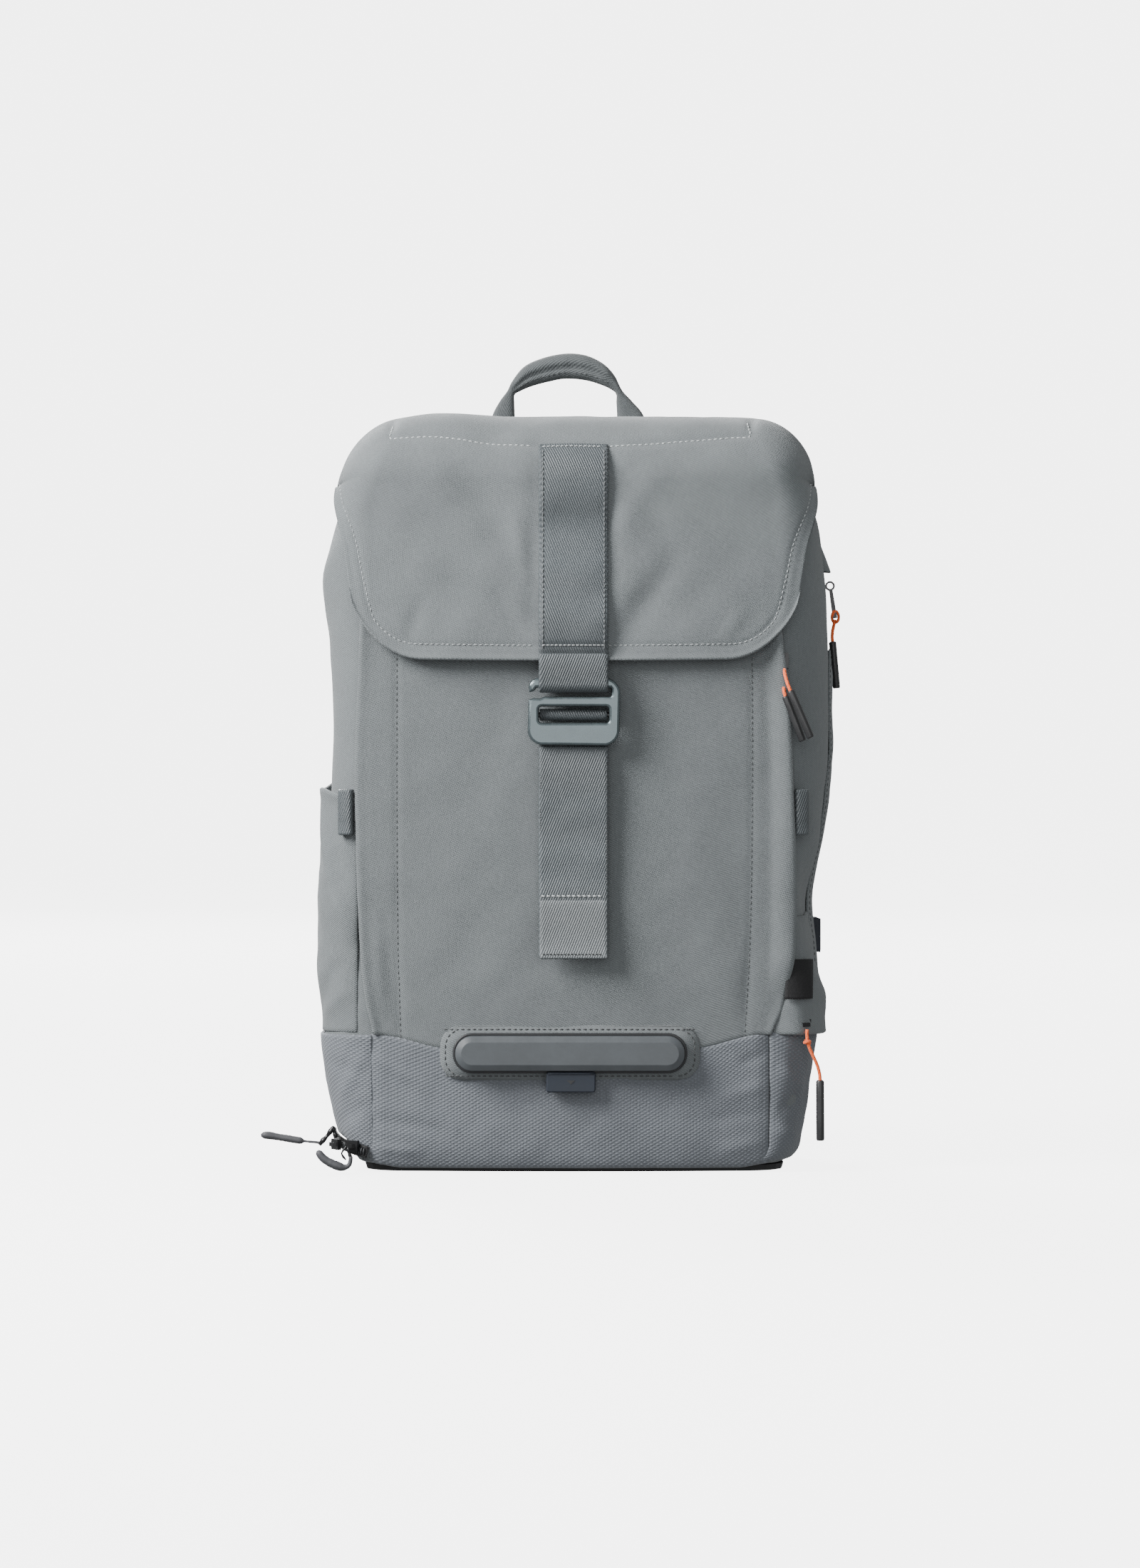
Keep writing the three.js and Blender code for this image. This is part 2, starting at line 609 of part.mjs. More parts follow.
// A straight upright zip: its tape and coil, and a way to place sliders on it.
function uprightZip(name, s, low, high) {
  const foot = skin(s, low, TRACK_LIFT);
  const out = skin(s, low, TRACK_LIFT + 1).sub(foot);
  const section = new THREE.Shape();
  section.moveTo(-TAPE_WIDE / 2, 0).lineTo(TAPE_WIDE / 2, 0).lineTo(TAPE_WIDE / 2, 0.7).lineTo(1.5, 0.7);
  section.lineTo(1.1, 1.7).lineTo(-1.1, 1.7).lineTo(-1.5, 0.7).lineTo(-TAPE_WIDE / 2, 0.7);
  const geometry = new THREE.ExtrudeGeometry(section, { depth: high - low, bevelEnabled: false });
  const turn = new THREE.Matrix4().makeBasis(point(0, 0, -1), point(0, 1, 0), point(1, 0, 0));
  geometry.applyMatrix4(turn).applyMatrix4(placement(foot, out, point(0, 0, 1)));
  add(name, geometry, 'plastic');
  return (z) => placement(skin(s, z, TRACK_LIFT), out, point(0, 0, 1));
}

// A place for a slider on a zip that runs round a front corner.
function cornerSlider(side, degrees, z, lift) {
  const s = cornerS(side, degrees, z);
  const origin = skin(s, z, lift);
  const out = skin(s, z, lift + 1).sub(origin);
  return placement(origin, out, point(-out.y, out.x, 0));
}

// A cord of round section along a hand-set route.
function cordTube(name, stations, diameter) {
  const curve = new THREE.CatmullRomCurve3(stations.map((p) => point(...p)), false, 'centripetal');
  const section = new THREE.Shape();
  section.absarc(0, 0, diameter / 2, 0, 2 * Math.PI);
  const steps = Math.max(6, Math.round(curve.getLength() / (2.5 * diameter)));
  const settings = { steps, extrudePath: curve, bevelEnabled: false, curveSegments: 4 };
  add(name, new THREE.ExtrudeGeometry(section, settings), 'cord');
}

// A hollow grip that the cord runs through.
function gripTube(name, from, to, radius) {
  const a = point(...from);
  const b = point(...to);
  const length = a.distanceTo(b);
  const profile = [[1.5, 0], [radius, 0], [radius, length], [1.5, length], [1.5, 0]];
  const tube = new THREE.LatheGeometry(profile.map(([r, h]) => new THREE.Vector2(r, h)), 10);
  const turn = new THREE.Quaternion().setFromUnitVectors(point(0, 1, 0), b.clone().sub(a).normalize());
  tube.applyQuaternion(turn).translate(a.x, a.y, a.z);
  add(name, tube, 'grip');
}

// A flat strip in X and Z whose middle line and half widths are given.
function taperedStrip(stations) {
  const sides = [[], []];
  stations.forEach(([x, z, half], k) => {
    const [ax, az] = stations[Math.max(0, k - 1)];
    const [bx, bz] = stations[Math.min(stations.length - 1, k + 1)];
    const run = Math.hypot(bx - ax, bz - az);
    const nx = -(bz - az) / run;
    const nz = (bx - ax) / run;
    sides[0].push(new THREE.Vector2(x + nx * half, z + nz * half));
    sides[1].unshift(new THREE.Vector2(x - nx * half, z - nz * half));
  });
  return new THREE.Shape(sides.flat());
}

const CORD_WIDE = 2;

// The cords' routes: each hangs from its slider and ends inside its grip.
const CORD_ROUTES = {
  front_upper: [[121.7, -77.4, 286.4], [121.9, -79.6, 283.6], [122.6, -82, 280.4], [123.6, -83.6, 277],
    [125, -84.2, 273.6], [128.8, -84.4, 264.8], [132.6, -84.6, 256], [136.4, -84.8, 247.2]],
  front_lower: [[121.4, -77.4, 275.8], [121.4, -78.4, 274], [121.7, -79, 272.4], [122.4, -79.2, 270.6],
    [125.7, -79.2, 262.2], [129, -79.2, 253.8], [132.2, -79.2, 245.4]],
  rear: [[157.9, 61.4, 319], [157.4, 61.4, 316], [156.6, 61.4, 312.4], [156.3, 61.4, 309], [156.5, 61.4, 305.6],
    [157.3, 61.4, 296.4], [158.1, 61.4, 287.2], [158.9, 61.4, 278]],
  lower: [[134.9, -72, 81.4], [134.8, -72.2, 78.4], [135.2, -72.4, 74.6], [136.6, -72, 70],
    [138.6, -71.4, 65.8], [140.8, -70.6, 60.8], [142.1, -70, 56], [142.4, -69.8, 52], [142.4, -69.8, 43],
    [142.5, -69.7, 31], [142.6, -69.6, 18]],
};
const GRIPS = { front_upper: [4, 2.1], front_lower: [3, 2.1], rear: [4, 2.2], lower: [7, 2.3] };

function zips() {
  const frontZip = uprightZip('zip_track_front', cornerS(1, 4, 200), 132, 338);
  zipSlider('slider_front_upper', frontZip(291));
  zipSlider('slider_front_lower', frontZip(280));

  const rearS = cornerS(1, 90, 200) + (BACK - BACK_RADIUS - FRONT - FRONT_RADIUS) + BACK_RADIUS * 0.436;
  const rearZip = uprightZip('zip_track_rear', rearS, 100, 347);
  zipSlider('slider_rear', rearZip(341));
  const ringCentre = [155, 339];
  const link = taperedStrip([[155.4, 337, 1], [156, 333, 1.1], [157.5, 323, 1.3], [158, 319.8, 1.3]]);
  const linkRing = new THREE.Shape();
  linkRing.absarc(...ringCentre, 3, 0, 2 * Math.PI);
  const eye = new THREE.Path();
  eye.absarc(...ringCentre, 1.8, 0, 2 * Math.PI);
  linkRing.holes.push(eye);
  add('rear_pull_link', join(plate(linkRing, 60.6, 62.2), plate(link, 60.6, 62.2)), 'blackMetal');

  const lowerTrack = [cornerS(1, 22, 84), cornerS(1, 92, 84), 80.5, 87.5, TRACK_LIFT, 1.7];
  add('zip_track_lower', patch(...lowerTrack, 8), 'plastic');
  zipSlider('slider_lower', cornerSlider(1, 33, 84, TRACK_LIFT + 0.4));

  const baseTrack = [cornerS(-1, 92, 15), cornerS(-1, 8, 15), 11.5, 18.5, 3.5, 4.8];
  add('zip_track_base', patch(...baseTrack, 10, [0, 14, 1]), 'plastic');
  zipSlider('slider_base_front', cornerSlider(-1, 38, 15, 5.6));
  zipSlider('slider_base_rear', cornerSlider(-1, 62, 15, 5.6));
  const rearPull = [[-138.9, 21.4, 1.4], [-146, 12.6, 1.4], [-149, 12.9, 1], [-156, 14, 1], [-158, 14.6, 2.1],
    [-170, 16.8, 2.1], [-175.4, 17.6, 1.8], [-177, 17.8, 0.9]];
  add('rubber_pull_rear', plate(taperedStrip(rearPull), -61.2, -58), 'rubber');
  const frontPull = [[-125.4, 10.6, 1.3], [-126.4, 6, 1.3], [-129.4, 3.2, 1.6], [-137, 4.6, 2.2],
    [-143.4, 7.6, 2.1], [-145.2, 8.6, 1]];
  add('rubber_pull_front', plate(taperedStrip(frontPull), -77.6, -74.4), 'rubber');

  for (const [name, route] of Object.entries(CORD_ROUTES)) {
    const [from, radius] = GRIPS[name];
    cordTube(`pull_cord_${name}`, route, CORD_WIDE);
    gripTube(`pull_grip_${name}`, route[from], route.at(-1), radius);
  }
}

bagBody();
pockets();
trims();
lightMount();
closure();
flap();
handle();
backPanel();
harness();
sternumStrap();
zips();

export default daypack;
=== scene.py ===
"""A flap-top daypack in Blender, dressed round its CAD frame.

Shapes are worked out in millimetres, in the frame's own axes, and made in metres.
"""

import json
import math

import bpy
import numpy as np
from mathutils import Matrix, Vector, noise


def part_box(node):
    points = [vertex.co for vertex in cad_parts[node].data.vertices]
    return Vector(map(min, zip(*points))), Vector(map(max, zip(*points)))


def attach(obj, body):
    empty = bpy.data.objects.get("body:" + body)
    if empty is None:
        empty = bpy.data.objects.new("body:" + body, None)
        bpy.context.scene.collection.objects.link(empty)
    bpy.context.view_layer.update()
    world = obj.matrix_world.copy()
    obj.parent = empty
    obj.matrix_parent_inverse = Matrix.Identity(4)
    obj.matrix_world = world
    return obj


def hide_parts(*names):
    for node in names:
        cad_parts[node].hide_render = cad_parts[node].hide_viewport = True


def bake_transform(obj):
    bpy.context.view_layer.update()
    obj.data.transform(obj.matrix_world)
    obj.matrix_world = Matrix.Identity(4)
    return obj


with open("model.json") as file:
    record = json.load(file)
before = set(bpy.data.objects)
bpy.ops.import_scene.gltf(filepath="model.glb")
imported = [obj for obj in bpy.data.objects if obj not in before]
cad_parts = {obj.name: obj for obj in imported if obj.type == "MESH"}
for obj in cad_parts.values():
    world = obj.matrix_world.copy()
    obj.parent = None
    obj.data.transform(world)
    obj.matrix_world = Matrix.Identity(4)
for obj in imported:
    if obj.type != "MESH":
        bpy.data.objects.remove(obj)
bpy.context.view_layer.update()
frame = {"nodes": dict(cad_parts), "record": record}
MM = 0.001

# ---- camera -------------------------------------------------------------------

CAMERA_DISTANCE = 2.865
CAMERA_HEIGHT = 0.221

camera = bpy.data.objects.new("camera", bpy.data.cameras.new("camera"))
camera.data.lens = 155
camera.data.sensor_width = 36
camera.data.sensor_fit = "HORIZONTAL"
camera.location = (0, -CAMERA_DISTANCE, CAMERA_HEIGHT)
camera.rotation_euler = (math.pi / 2, 0, 0)
bpy.context.scene.collection.objects.link(camera)
bpy.context.scene.camera = camera

# ---- node materials -----------------------------------------------------------


class Shader:
    """A material's nodes, with short calls for the ones that this script uses."""

    def __init__(self, name, roughness, metallic=0.0, sheen=0.0, coat=0.0, specular=0.5):
        self.material = bpy.data.materials.new(name)
        self.material.use_nodes = True
        self.nodes = self.material.node_tree.nodes
        self.links = self.material.node_tree.links
        self.surface = self.nodes["Principled BSDF"]
        self.surface.inputs["Roughness"].default_value = roughness
        self.surface.inputs["Metallic"].default_value = metallic
        self.surface.inputs["Sheen Weight"].default_value = sheen
        self.surface.inputs["Sheen Roughness"].default_value = 0.45
        self.surface.inputs["Coat Weight"].default_value = coat
        self.surface.inputs["Specular IOR Level"].default_value = specular

    def plug(self, value, socket):
        if isinstance(value, bpy.types.NodeSocket):
            self.links.new(value, socket)
        else:
            socket.default_value = value

    def place(self, source="UV"):
        return self.nodes.new("ShaderNodeTexCoord").outputs[source]

    def mapped(self, source, scale, turn=0.0):
        node = self.nodes.new("ShaderNodeMapping")
        self.links.new(source, node.inputs["Vector"])
        node.inputs["Scale"].default_value = scale
        node.inputs["Rotation"].default_value = (0, 0, turn)
        return node.outputs["Vector"]

    def noise(self, source, scale, detail=2.0, roughness=0.5):
        node = self.nodes.new("ShaderNodeTexNoise")
        self.links.new(source, node.inputs["Vector"])
        node.inputs["Scale"].default_value = scale
        node.inputs["Detail"].default_value = detail
        node.inputs["Roughness"].default_value = roughness
        return node.outputs["Fac"]

    def wave(self, pitch, turn):
        """Bands pitch metres apart, turned by an angle from the X direction."""
        node = self.nodes.new("ShaderNodeTexWave")
        per_metre = 2 * math.pi / (20 * pitch)
        turned = self.mapped(self.place(), (1, 1, 1), turn)
        self.links.new(turned, node.inputs["Vector"])
        node.inputs["Scale"].default_value = per_metre
        return node.outputs["Fac"]

    def math(self, operation, a, b=0.0):
        node = self.nodes.new("ShaderNodeMath")
        node.operation = operation
        self.plug(a, node.inputs[0])
        self.plug(b, node.inputs[1])
        return node.outputs["Value"]

    def span(self, value, low, high, to_low=0.0, to_high=1.0):
        node = self.nodes.new("ShaderNodeMapRange")
        for socket, x in zip(node.inputs, (value, low, high, to_low, to_high)):
            self.plug(x, socket)
        return node.outputs["Result"]

    def blend(self, amount, a, b):
        node = self.nodes.new("ShaderNodeMix")
        node.data_type = "RGBA"
        self.plug(amount, node.inputs["Factor"])
        self.plug((*a, 1) if isinstance(a, tuple) else a, node.inputs["A"])
        self.plug((*b, 1) if isinstance(b, tuple) else b, node.inputs["B"])
        return node.outputs["Result"]

    def finish(self, colour, height, depth, roughness=None):
        """Links the colour, the bump, depth metres deep, and the roughness."""
        self.links.new(colour, self.surface.inputs["Base Color"])
        if roughness is not None:
            self.links.new(roughness, self.surface.inputs["Roughness"])
        bump = self.nodes.new("ShaderNodeBump")
        bump.inputs["Distance"].default_value = depth
        bump.inputs["Strength"].default_value = 1.0
        self.links.new(height, bump.inputs["Height"])
        self.links.new(bump.outputs["Normal"], self.surface.inputs["Normal"])
        return self.material


def shade(colour, factor):
    return tuple(min(1.0, c * factor) for c in colour)


def woven(name, colour, weave, pitch, depth, rough=0.88, sheen=0.12, contrast=0.35, specular=0.25):
    """Cloth: its threads as bands across each other, a mottled dye, rubbed places and, on webbing, painted
    sheen bands.
    """
    s = Shader(name, rough, sheen=sheen, specular=specular)
    if weave == "twill":
        ribs = s.wave(pitch, math.radians(118))
        threads = s.wave(pitch * 0.55, math.radians(12))
        height = s.math("ADD", s.math("MULTIPLY", ribs, 0.7), s.math("MULTIPLY", threads, 0.3))
    elif weave == "basket":
        one = s.wave(pitch, math.radians(58))
        other = s.wave(pitch, math.radians(-58))
        height = s.math("MULTIPLY", one, other)
    else:
        ribs = s.wave(pitch, math.radians(-22))
        threads = s.wave(pitch * 0.6, math.radians(62))
        height = s.math("ADD", s.math("MULTIPLY", ribs, 0.75), s.math("MULTIPLY", threads, 0.25))
    local = s.place("Object")
    slubs = s.noise(s.mapped(s.place(), (900, 140, 1)), 1.0, 2.0)
    grain = s.noise(local, 1500, 1.0)
    wear = s.noise(local, 22, 3.0, 0.6)
    weft = s.math("ADD", s.math("MULTIPLY", height, contrast), s.math("MULTIPLY", slubs, 0.35))
    tone = s.math("ADD", weft, s.math("MULTIPLY", grain, 0.25))
    ground = s.blend(s.span(tone, 0.15, 0.85), shade(colour, 0.72), shade(colour, 1.3))
    wear_and_sheen = s.blend(s.span(wear, 0.3, 0.75, 0.0, 0.35), ground, shade(colour, 1.12))
    # painted sheen: on the web weave, noise bands along the strap blend in a lighter, lit copy of the
    # colour
    if weave == "web":
        sheen_bands = s.noise(s.mapped(s.place(), (2, 24, 1)), 1.0, 1.0)
        lit = s.blend(s.span(tone, 0.15, 0.85), shade(colour, 1.2), shade(colour, 2.2))
        wear_and_sheen = s.blend(s.span(sheen_bands, 0.4, 0.66), wear_and_sheen, lit)
    roughness = s.span(wear, 0.2, 0.8, rough - 0.06, rough + 0.06)
    bumps = s.math("ADD", height, s.math("MULTIPLY", slubs, 0.4))
    return s.finish(wear_and_sheen, bumps, depth, roughness)


def moulded(name, colour, rough, grain=900, depth=0.00004):
    """Rubber or plastic with a fine moulded grain and faint handling marks."""
    s = Shader(name, rough, specular=0.4)
    local = s.place("Object")
    fine = s.noise(local, grain, 2.0)
    marks = s.noise(local, 70, 4.0, 0.65)
    tone = s.blend(s.span(marks, 0.3, 0.7), shade(colour, 0.88), shade(colour, 1.12))
    return s.finish(tone, fine, depth, s.span(marks, 0.25, 0.75, rough - 0.07, rough + 0.08))


def coated_metal(name, colour, rough, metallic):
    """Metal under a satin coating, brushed across and a little rubbed."""
    s = Shader(name, rough, metallic=metallic, coat=0.15, specular=0.6)
    local = s.place("Object")
    brushed = s.noise(s.mapped(local, (60, 900, 900)), 1.0, 3.0)
    rubbed = s.noise(local, 140, 4.0, 0.7)
    tone = s.blend(s.span(rubbed, 0.35, 0.75), shade(colour, 0.9), shade(colour, 1.2))
    return s.finish(tone, brushed, 0.000003, s.span(rubbed, 0.3, 0.8, rough - 0.05, rough + 0.1))


def mesh_knit(name, colour):
    """Spacer mesh: small round holes in a knitted face, with painted shade darkening the holes."""
    s = Shader(name, 0.95, sheen=0.1, specular=0.2)
    cells = s.nodes.new("ShaderNodeTexVoronoi")
    s.links.new(s.place("Object"), cells.inputs["Vector"])
    cells.inputs["Scale"].default_value = 420
    cells.inputs["Randomness"].default_value = 0.25
    holes = s.span(cells.outputs["Distance"], 0.15, 0.5)
    # painted shade: the holes are darkened to 0.35 of the colour
    tone = s.blend(holes, shade(colour, 0.35), shade(colour, 1.4))
    return s.finish(tone, holes, 0.0005)


def braided(name, colour):
    """A braided cord: two sets of strands crossing round it."""
    s = Shader(name, 0.7, sheen=0.2)
    one = s.wave(0.0018, math.radians(40))
    other = s.wave(0.0018, math.radians(-40))
    strands = s.math("MAXIMUM", one, other)
    tone = s.blend(s.span(strands, 0.4, 1.0), shade(colour, 0.85), shade(colour, 1.08))
    return s.finish(tone, strands, 0.00012)


GREY = (0.118, 0.129, 0.133)
CLOTH = {
    "shell_fabric": woven("shell_cloth", GREY, "twill", 0.0010, 0.00022),
    "front_fabric": woven("front_cloth", shade(GREY, 0.98), "twill", 0.0011, 0.00026),
    "flap_fabric": woven("flap_cloth", shade(GREY, 1.06), "twill", 0.0011, 0.00024),
    "base_fabric": woven("base_cloth", (0.112, 0.121, 0.134), "basket", 0.0019, 0.0004, 0.85, 0.1, 0.6),
    "webbing": woven("webbing_cloth", (0.042, 0.049, 0.053), "web", 0.0013, 0.0003, 0.5, 0.06, 0.6, 0.5),
    "spacer_mesh": mesh_knit("pad_mesh", (0.045, 0.05, 0.053)),
    "label_black": woven("label_cloth", (0.006, 0.006, 0.0065), "web", 0.0006, 0.0001, 0.6, 0.05),
}
# painted shade: the handle wears the shell grey darkened to 0.62, standing in for the shade on it
HANDLE_CLOTH_PAINTED_SHADE = woven("handle_cloth_painted_shade", shade(GREY, 0.62), "twill", 0.0011, 0.00024)
# painted highlight: a lighter, lit copy of the webbing, for the tail's doubled end
LIT_WEB = woven("webbing_lit", (0.078, 0.086, 0.09), "web", 0.0013, 0.0003, 0.5, 0.06, 0.6, 0.5)
LINING = woven("lining_cloth", (0.085, 0.09, 0.094), "twill", 0.0007, 0.0001, 0.7, 0.05)
BINDING = woven("binding_cloth", (0.055, 0.06, 0.063), "web", 0.0008, 0.0002, 0.7)
HARD = {
    "hook_metal": coated_metal("hook_coating", (0.09, 0.112, 0.119), 0.27, 0.75),
    "black_metal": coated_metal("zip_coating", (0.014, 0.014, 0.015), 0.32, 0.6),
    "grey_rubber": moulded("grey_rubber", (0.05, 0.056, 0.061), 0.5),
    "navy_rubber": moulded("navy_rubber", (0.009, 0.013, 0.021), 0.6),
    "grip_plastic": moulded("grip_tube", (0.018, 0.018, 0.019), 0.42, 500),
    "black_plastic": moulded("black_plastic", (0.014, 0.015, 0.0165), 0.5),
    "sole_rubber": moulded("sole_rubber", (0.01, 0.01, 0.011), 0.7, 300, 0.0002),
}
PULL_RUBBER = moulded("pull_rubber", (0.045, 0.046, 0.05), 0.6, 700)
CORD = braided("orange_braid", (0.75, 0.11, 0.018))
THREAD = braided("sewing_thread", (0.26, 0.275, 0.28))
DARK_THREAD = braided("dark_thread", (0.042, 0.046, 0.048))
EDGE_THREAD = braided("edge_thread", (0.12, 0.128, 0.132))
PALE_THREAD = braided("pale_thread", (0.38, 0.40, 0.40))
FINISH = {**CLOTH, **HARD}

# ---- mesh helpers -------------------------------------------------------------


def box_mm(node):
    """A CAD node's lowest and highest corners, in millimetres."""
    return [tuple(c / MM for c in corner_point) for corner_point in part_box(node)]


def squared(c, power):
    """A sine or cosine raised to a power below 1, which squares up a round section."""
    return math.copysign(abs(c) ** power, c)


def hump(off, width):
    """A soft hump, 1 at the middle, by the distance off it."""
    return math.exp(-((off / width) ** 2))


def spline(points, k, t):
    """A point a share t of the way from the k-th point to the next, on a smooth curve."""
    p0, p1 = points[max(k - 1, 0)], points[k]
    p2, p3 = points[k + 1], points[min(k + 2, len(points) - 1)]
    return 0.5 * (
        2 * p1 + (p2 - p0) * t + (2 * p0 - 5 * p1 + 4 * p2 - p3) * t * t
        + (3 * p1 - p0 - 3 * p2 + p3) * t ** 3
    )


def loft(rings, sides, flip=False):
    """Faces between rings of points, one after the other, with both ends closed."""
    faces = []
    for k in range(rings - 1):
        for j in range(sides):
            a, b = k * sides + j, k * sides + (j + 1) % sides
            quad = (b, a, a + sides, b + sides) if flip else (a, b, b + sides, a + sides)
            faces.append(quad)
    last = (rings - 1) * sides
    start, end = tuple(range(sides)), tuple(range(last, last + sides))
    return faces + ([start, end[::-1]] if flip else [start[::-1], end])


def tangent_at(path, k):
    """The direction of a path at its k-th point."""
    return (path[min(k + 1, len(path) - 1)] - path[max(k - 1, 0)]).normalized()


def running_length(points):
    """How far along a path each of its points is."""
    runs = [0.0]
    for a, b in zip(points, points[1:]):
        runs.append(runs[-1] + (b - a).length)
    return runs


def rounded(a, b, x0, x1, z0, z1, radius):
    """The place in X and Z for a and b from 0 to 1 in a rectangle with round corners."""
    z = z0 + (z1 - z0) * b
    into = max(0.0, radius - min(z - z0, z1 - z))
    pinch = radius - math.sqrt(max(0.0, radius * radius - into * into))
    return x0 + pinch + (x1 - x0 - 2 * pinch) * a, z


def rounded_ring(x0, x1, z0, z1, radius, shrink, count):
    """Points in X and Z round such a rectangle, shrink inside its edge."""
    r = max(radius - shrink, 0.3)
    ring = []
    for cx, cz, start in ((x1 - radius, z0 + radius, 270), (x1 - radius, z1 - radius, 0),
                          (x0 + radius, z1 - radius, 90), (x0 + radius, z0 + radius, 180)):
        for k in range(count + 1):
            angle = math.radians(start + 90 * k / count)
            ring.append((cx + r * math.cos(angle), cz + r * math.sin(angle)))
    return ring


def piece(name, points, faces, finish, body=None, uvs=None, smooth=True):
    """A mesh object from points in millimetres. uvs, one for each point, are in metres.

    finish is a slot's name, for its own material, or a pair of another material and a slot's name, which is
    not used.
    """
    material, slot = (FINISH[finish], finish) if isinstance(finish, str) else finish
    data = bpy.data.meshes.new(name)
    data.from_pydata([tuple(c * MM for c in p) for p in points], [], faces)
    if uvs is not None:
        layer = data.uv_layers.new(name="UVMap")
        for loop in data.loops:
            layer.data[loop.index].uv = uvs[loop.vertex_index]
    data.polygons.foreach_set("use_smooth", [smooth] * len(data.polygons))
    data.materials.append(material)
    obj = bpy.data.objects.new(name, data)
    bpy.context.scene.collection.objects.link(obj)
    if body:
        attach(obj, body)
    return obj


def sheet(name, at, columns, rows, thick, finish, body=None, wrap=False, sign=1, cut=None):
    """Cloth with thickness and a rounded edge. at(a, b, lift) gives points for a and b from 0 to 1.

    sign turns the faces round where a runs the other way. wrap joins the last column to the first.
    cut(a, b) gives the place in the flat cloth, in millimetres, that the weave follows.
    """
    count = columns if wrap else columns + 1
    layers = []
    for lift in (0.0, -thick):
        layers.append([[Vector(at(i / columns, j / rows, lift)) for j in range(rows + 1)]
                       for i in range(count)])
    outer, inner = layers
    across = [0.0]
    middle = rows // 2
    for i in range(1, count):
        across.append(across[-1] + (outer[i][middle] - outer[i - 1][middle]).length * MM)
    points, uvs = [], []
    for layer in layers:
        for i in range(count):
            up = 0.0
            for j in range(rows + 1):
                if j:
                    up += (layer[i][j] - layer[i][j - 1]).length * MM
                points.append(layer[i][j])
                flat = cut(i / columns, j / rows) if cut else None
                uvs.append((flat[0] * MM, flat[1] * MM) if cut else (across[i], up))
    size = count * (rows + 1)

    def index(i, j):
        return (i % count) * (rows + 1) + j

    faces = []
    for i in range(columns):
        for j in range(rows):
            a, b = index(i, j), index(i + 1, j)
            c, d = index(i + 1, j + 1), index(i, j + 1)
            faces.append((a, b, c, d) if sign > 0 else (d, c, b, a))
            inside = (d + size, c + size, b + size, a + size)
            faces.append(inside if sign > 0 else inside[::-1])
    edge = [(i, 0) for i in range(columns)]
    back = [(columns - i, rows) for i in range(columns)]
    if wrap:
        loops = [edge, back]
    else:
        right = [(columns, j) for j in range(rows)]
        left = [(0, rows - j) for j in range(rows)]
        loops = [edge + right + back + left]
    for loop in loops:
        rim = []
        for i, j in loop:
            ii = i % count
            near_i = min(max(i, 1), columns - 1) if not wrap else i
            near_j = min(max(j, 1), rows - 1)
            within = (outer[near_i % count][near_j] + inner[near_i % count][near_j]) / 2
            middle_point = (outer[ii][j] + inner[ii][j]) / 2
            away = (middle_point - within).normalized() * thick * 0.42
            points.append(middle_point + away)
            uvs.append(uvs[index(ii, j)])
            rim.append(len(points) - 1)
        for k, (i, j) in enumerate(loop):
            n = (k + 1) % len(loop)
            i2, j2 = loop[n]
            a, b = index(i, j), index(i2, j2)
            low = (b, a, rim[k], rim[n])
            high = (rim[n], rim[k], a + size, b + size)
            for face in (low, high):
                faces.append(face if sign > 0 else face[::-1])
    return piece(name, points, faces, finish, body, uvs)


def tube(name, route, radius, finish, body=None, sides=10, flatten=1.0):
    """A tube along a route. radius is one number or one for each point."""
    route = [Vector(p) for p in route]
    radii = radius if isinstance(radius, (list, tuple)) else [radius] * len(route)
    points, uvs = [], []
    side = Vector((0, 1, 0))
    run = 0.0
    for k, centre in enumerate(route):
        tangent = tangent_at(route, k)
        side = side - tangent * side.dot(tangent)
        if side.length < 0.05:
            side = tangent.orthogonal()
        side.normalize()
        other = tangent.cross(side)
        run += (centre - route[max(k - 1, 0)]).length * MM
        for j in range(sides):
            angle = 2 * math.pi * j / sides
            offset = side * math.cos(angle) + other * math.sin(angle) * flatten
            points.append(centre + offset * radii[k])
            uvs.append((j / sides * 2 * math.pi * radii[k] * MM, run))
    return piece(name, points, loft(len(route), sides), finish, body, uvs)


def curve_through(points, spacing):
    """Points about spacing apart on a smooth curve through the given ones."""
    points = [Vector(p) for p in points]
    dense = []
    for k in range(len(points) - 1):
        dense += [spline(points, k, step / 12) for step in range(12)]
    dense.append(points[-1])
    runs = running_length(dense)
    count = max(2, round(runs[-1] / spacing) + 1)
    spaced, k = [], 0
    for n in range(count):
        target = runs[-1] * n / (count - 1)
        while k < len(runs) - 2 and runs[k + 1] < target:
            k += 1
        share = (target - runs[k]) / max(runs[k + 1] - runs[k], 1e-9)
        spaced.append(dense[k].lerp(dense[k + 1], min(1, share)))
    return spaced


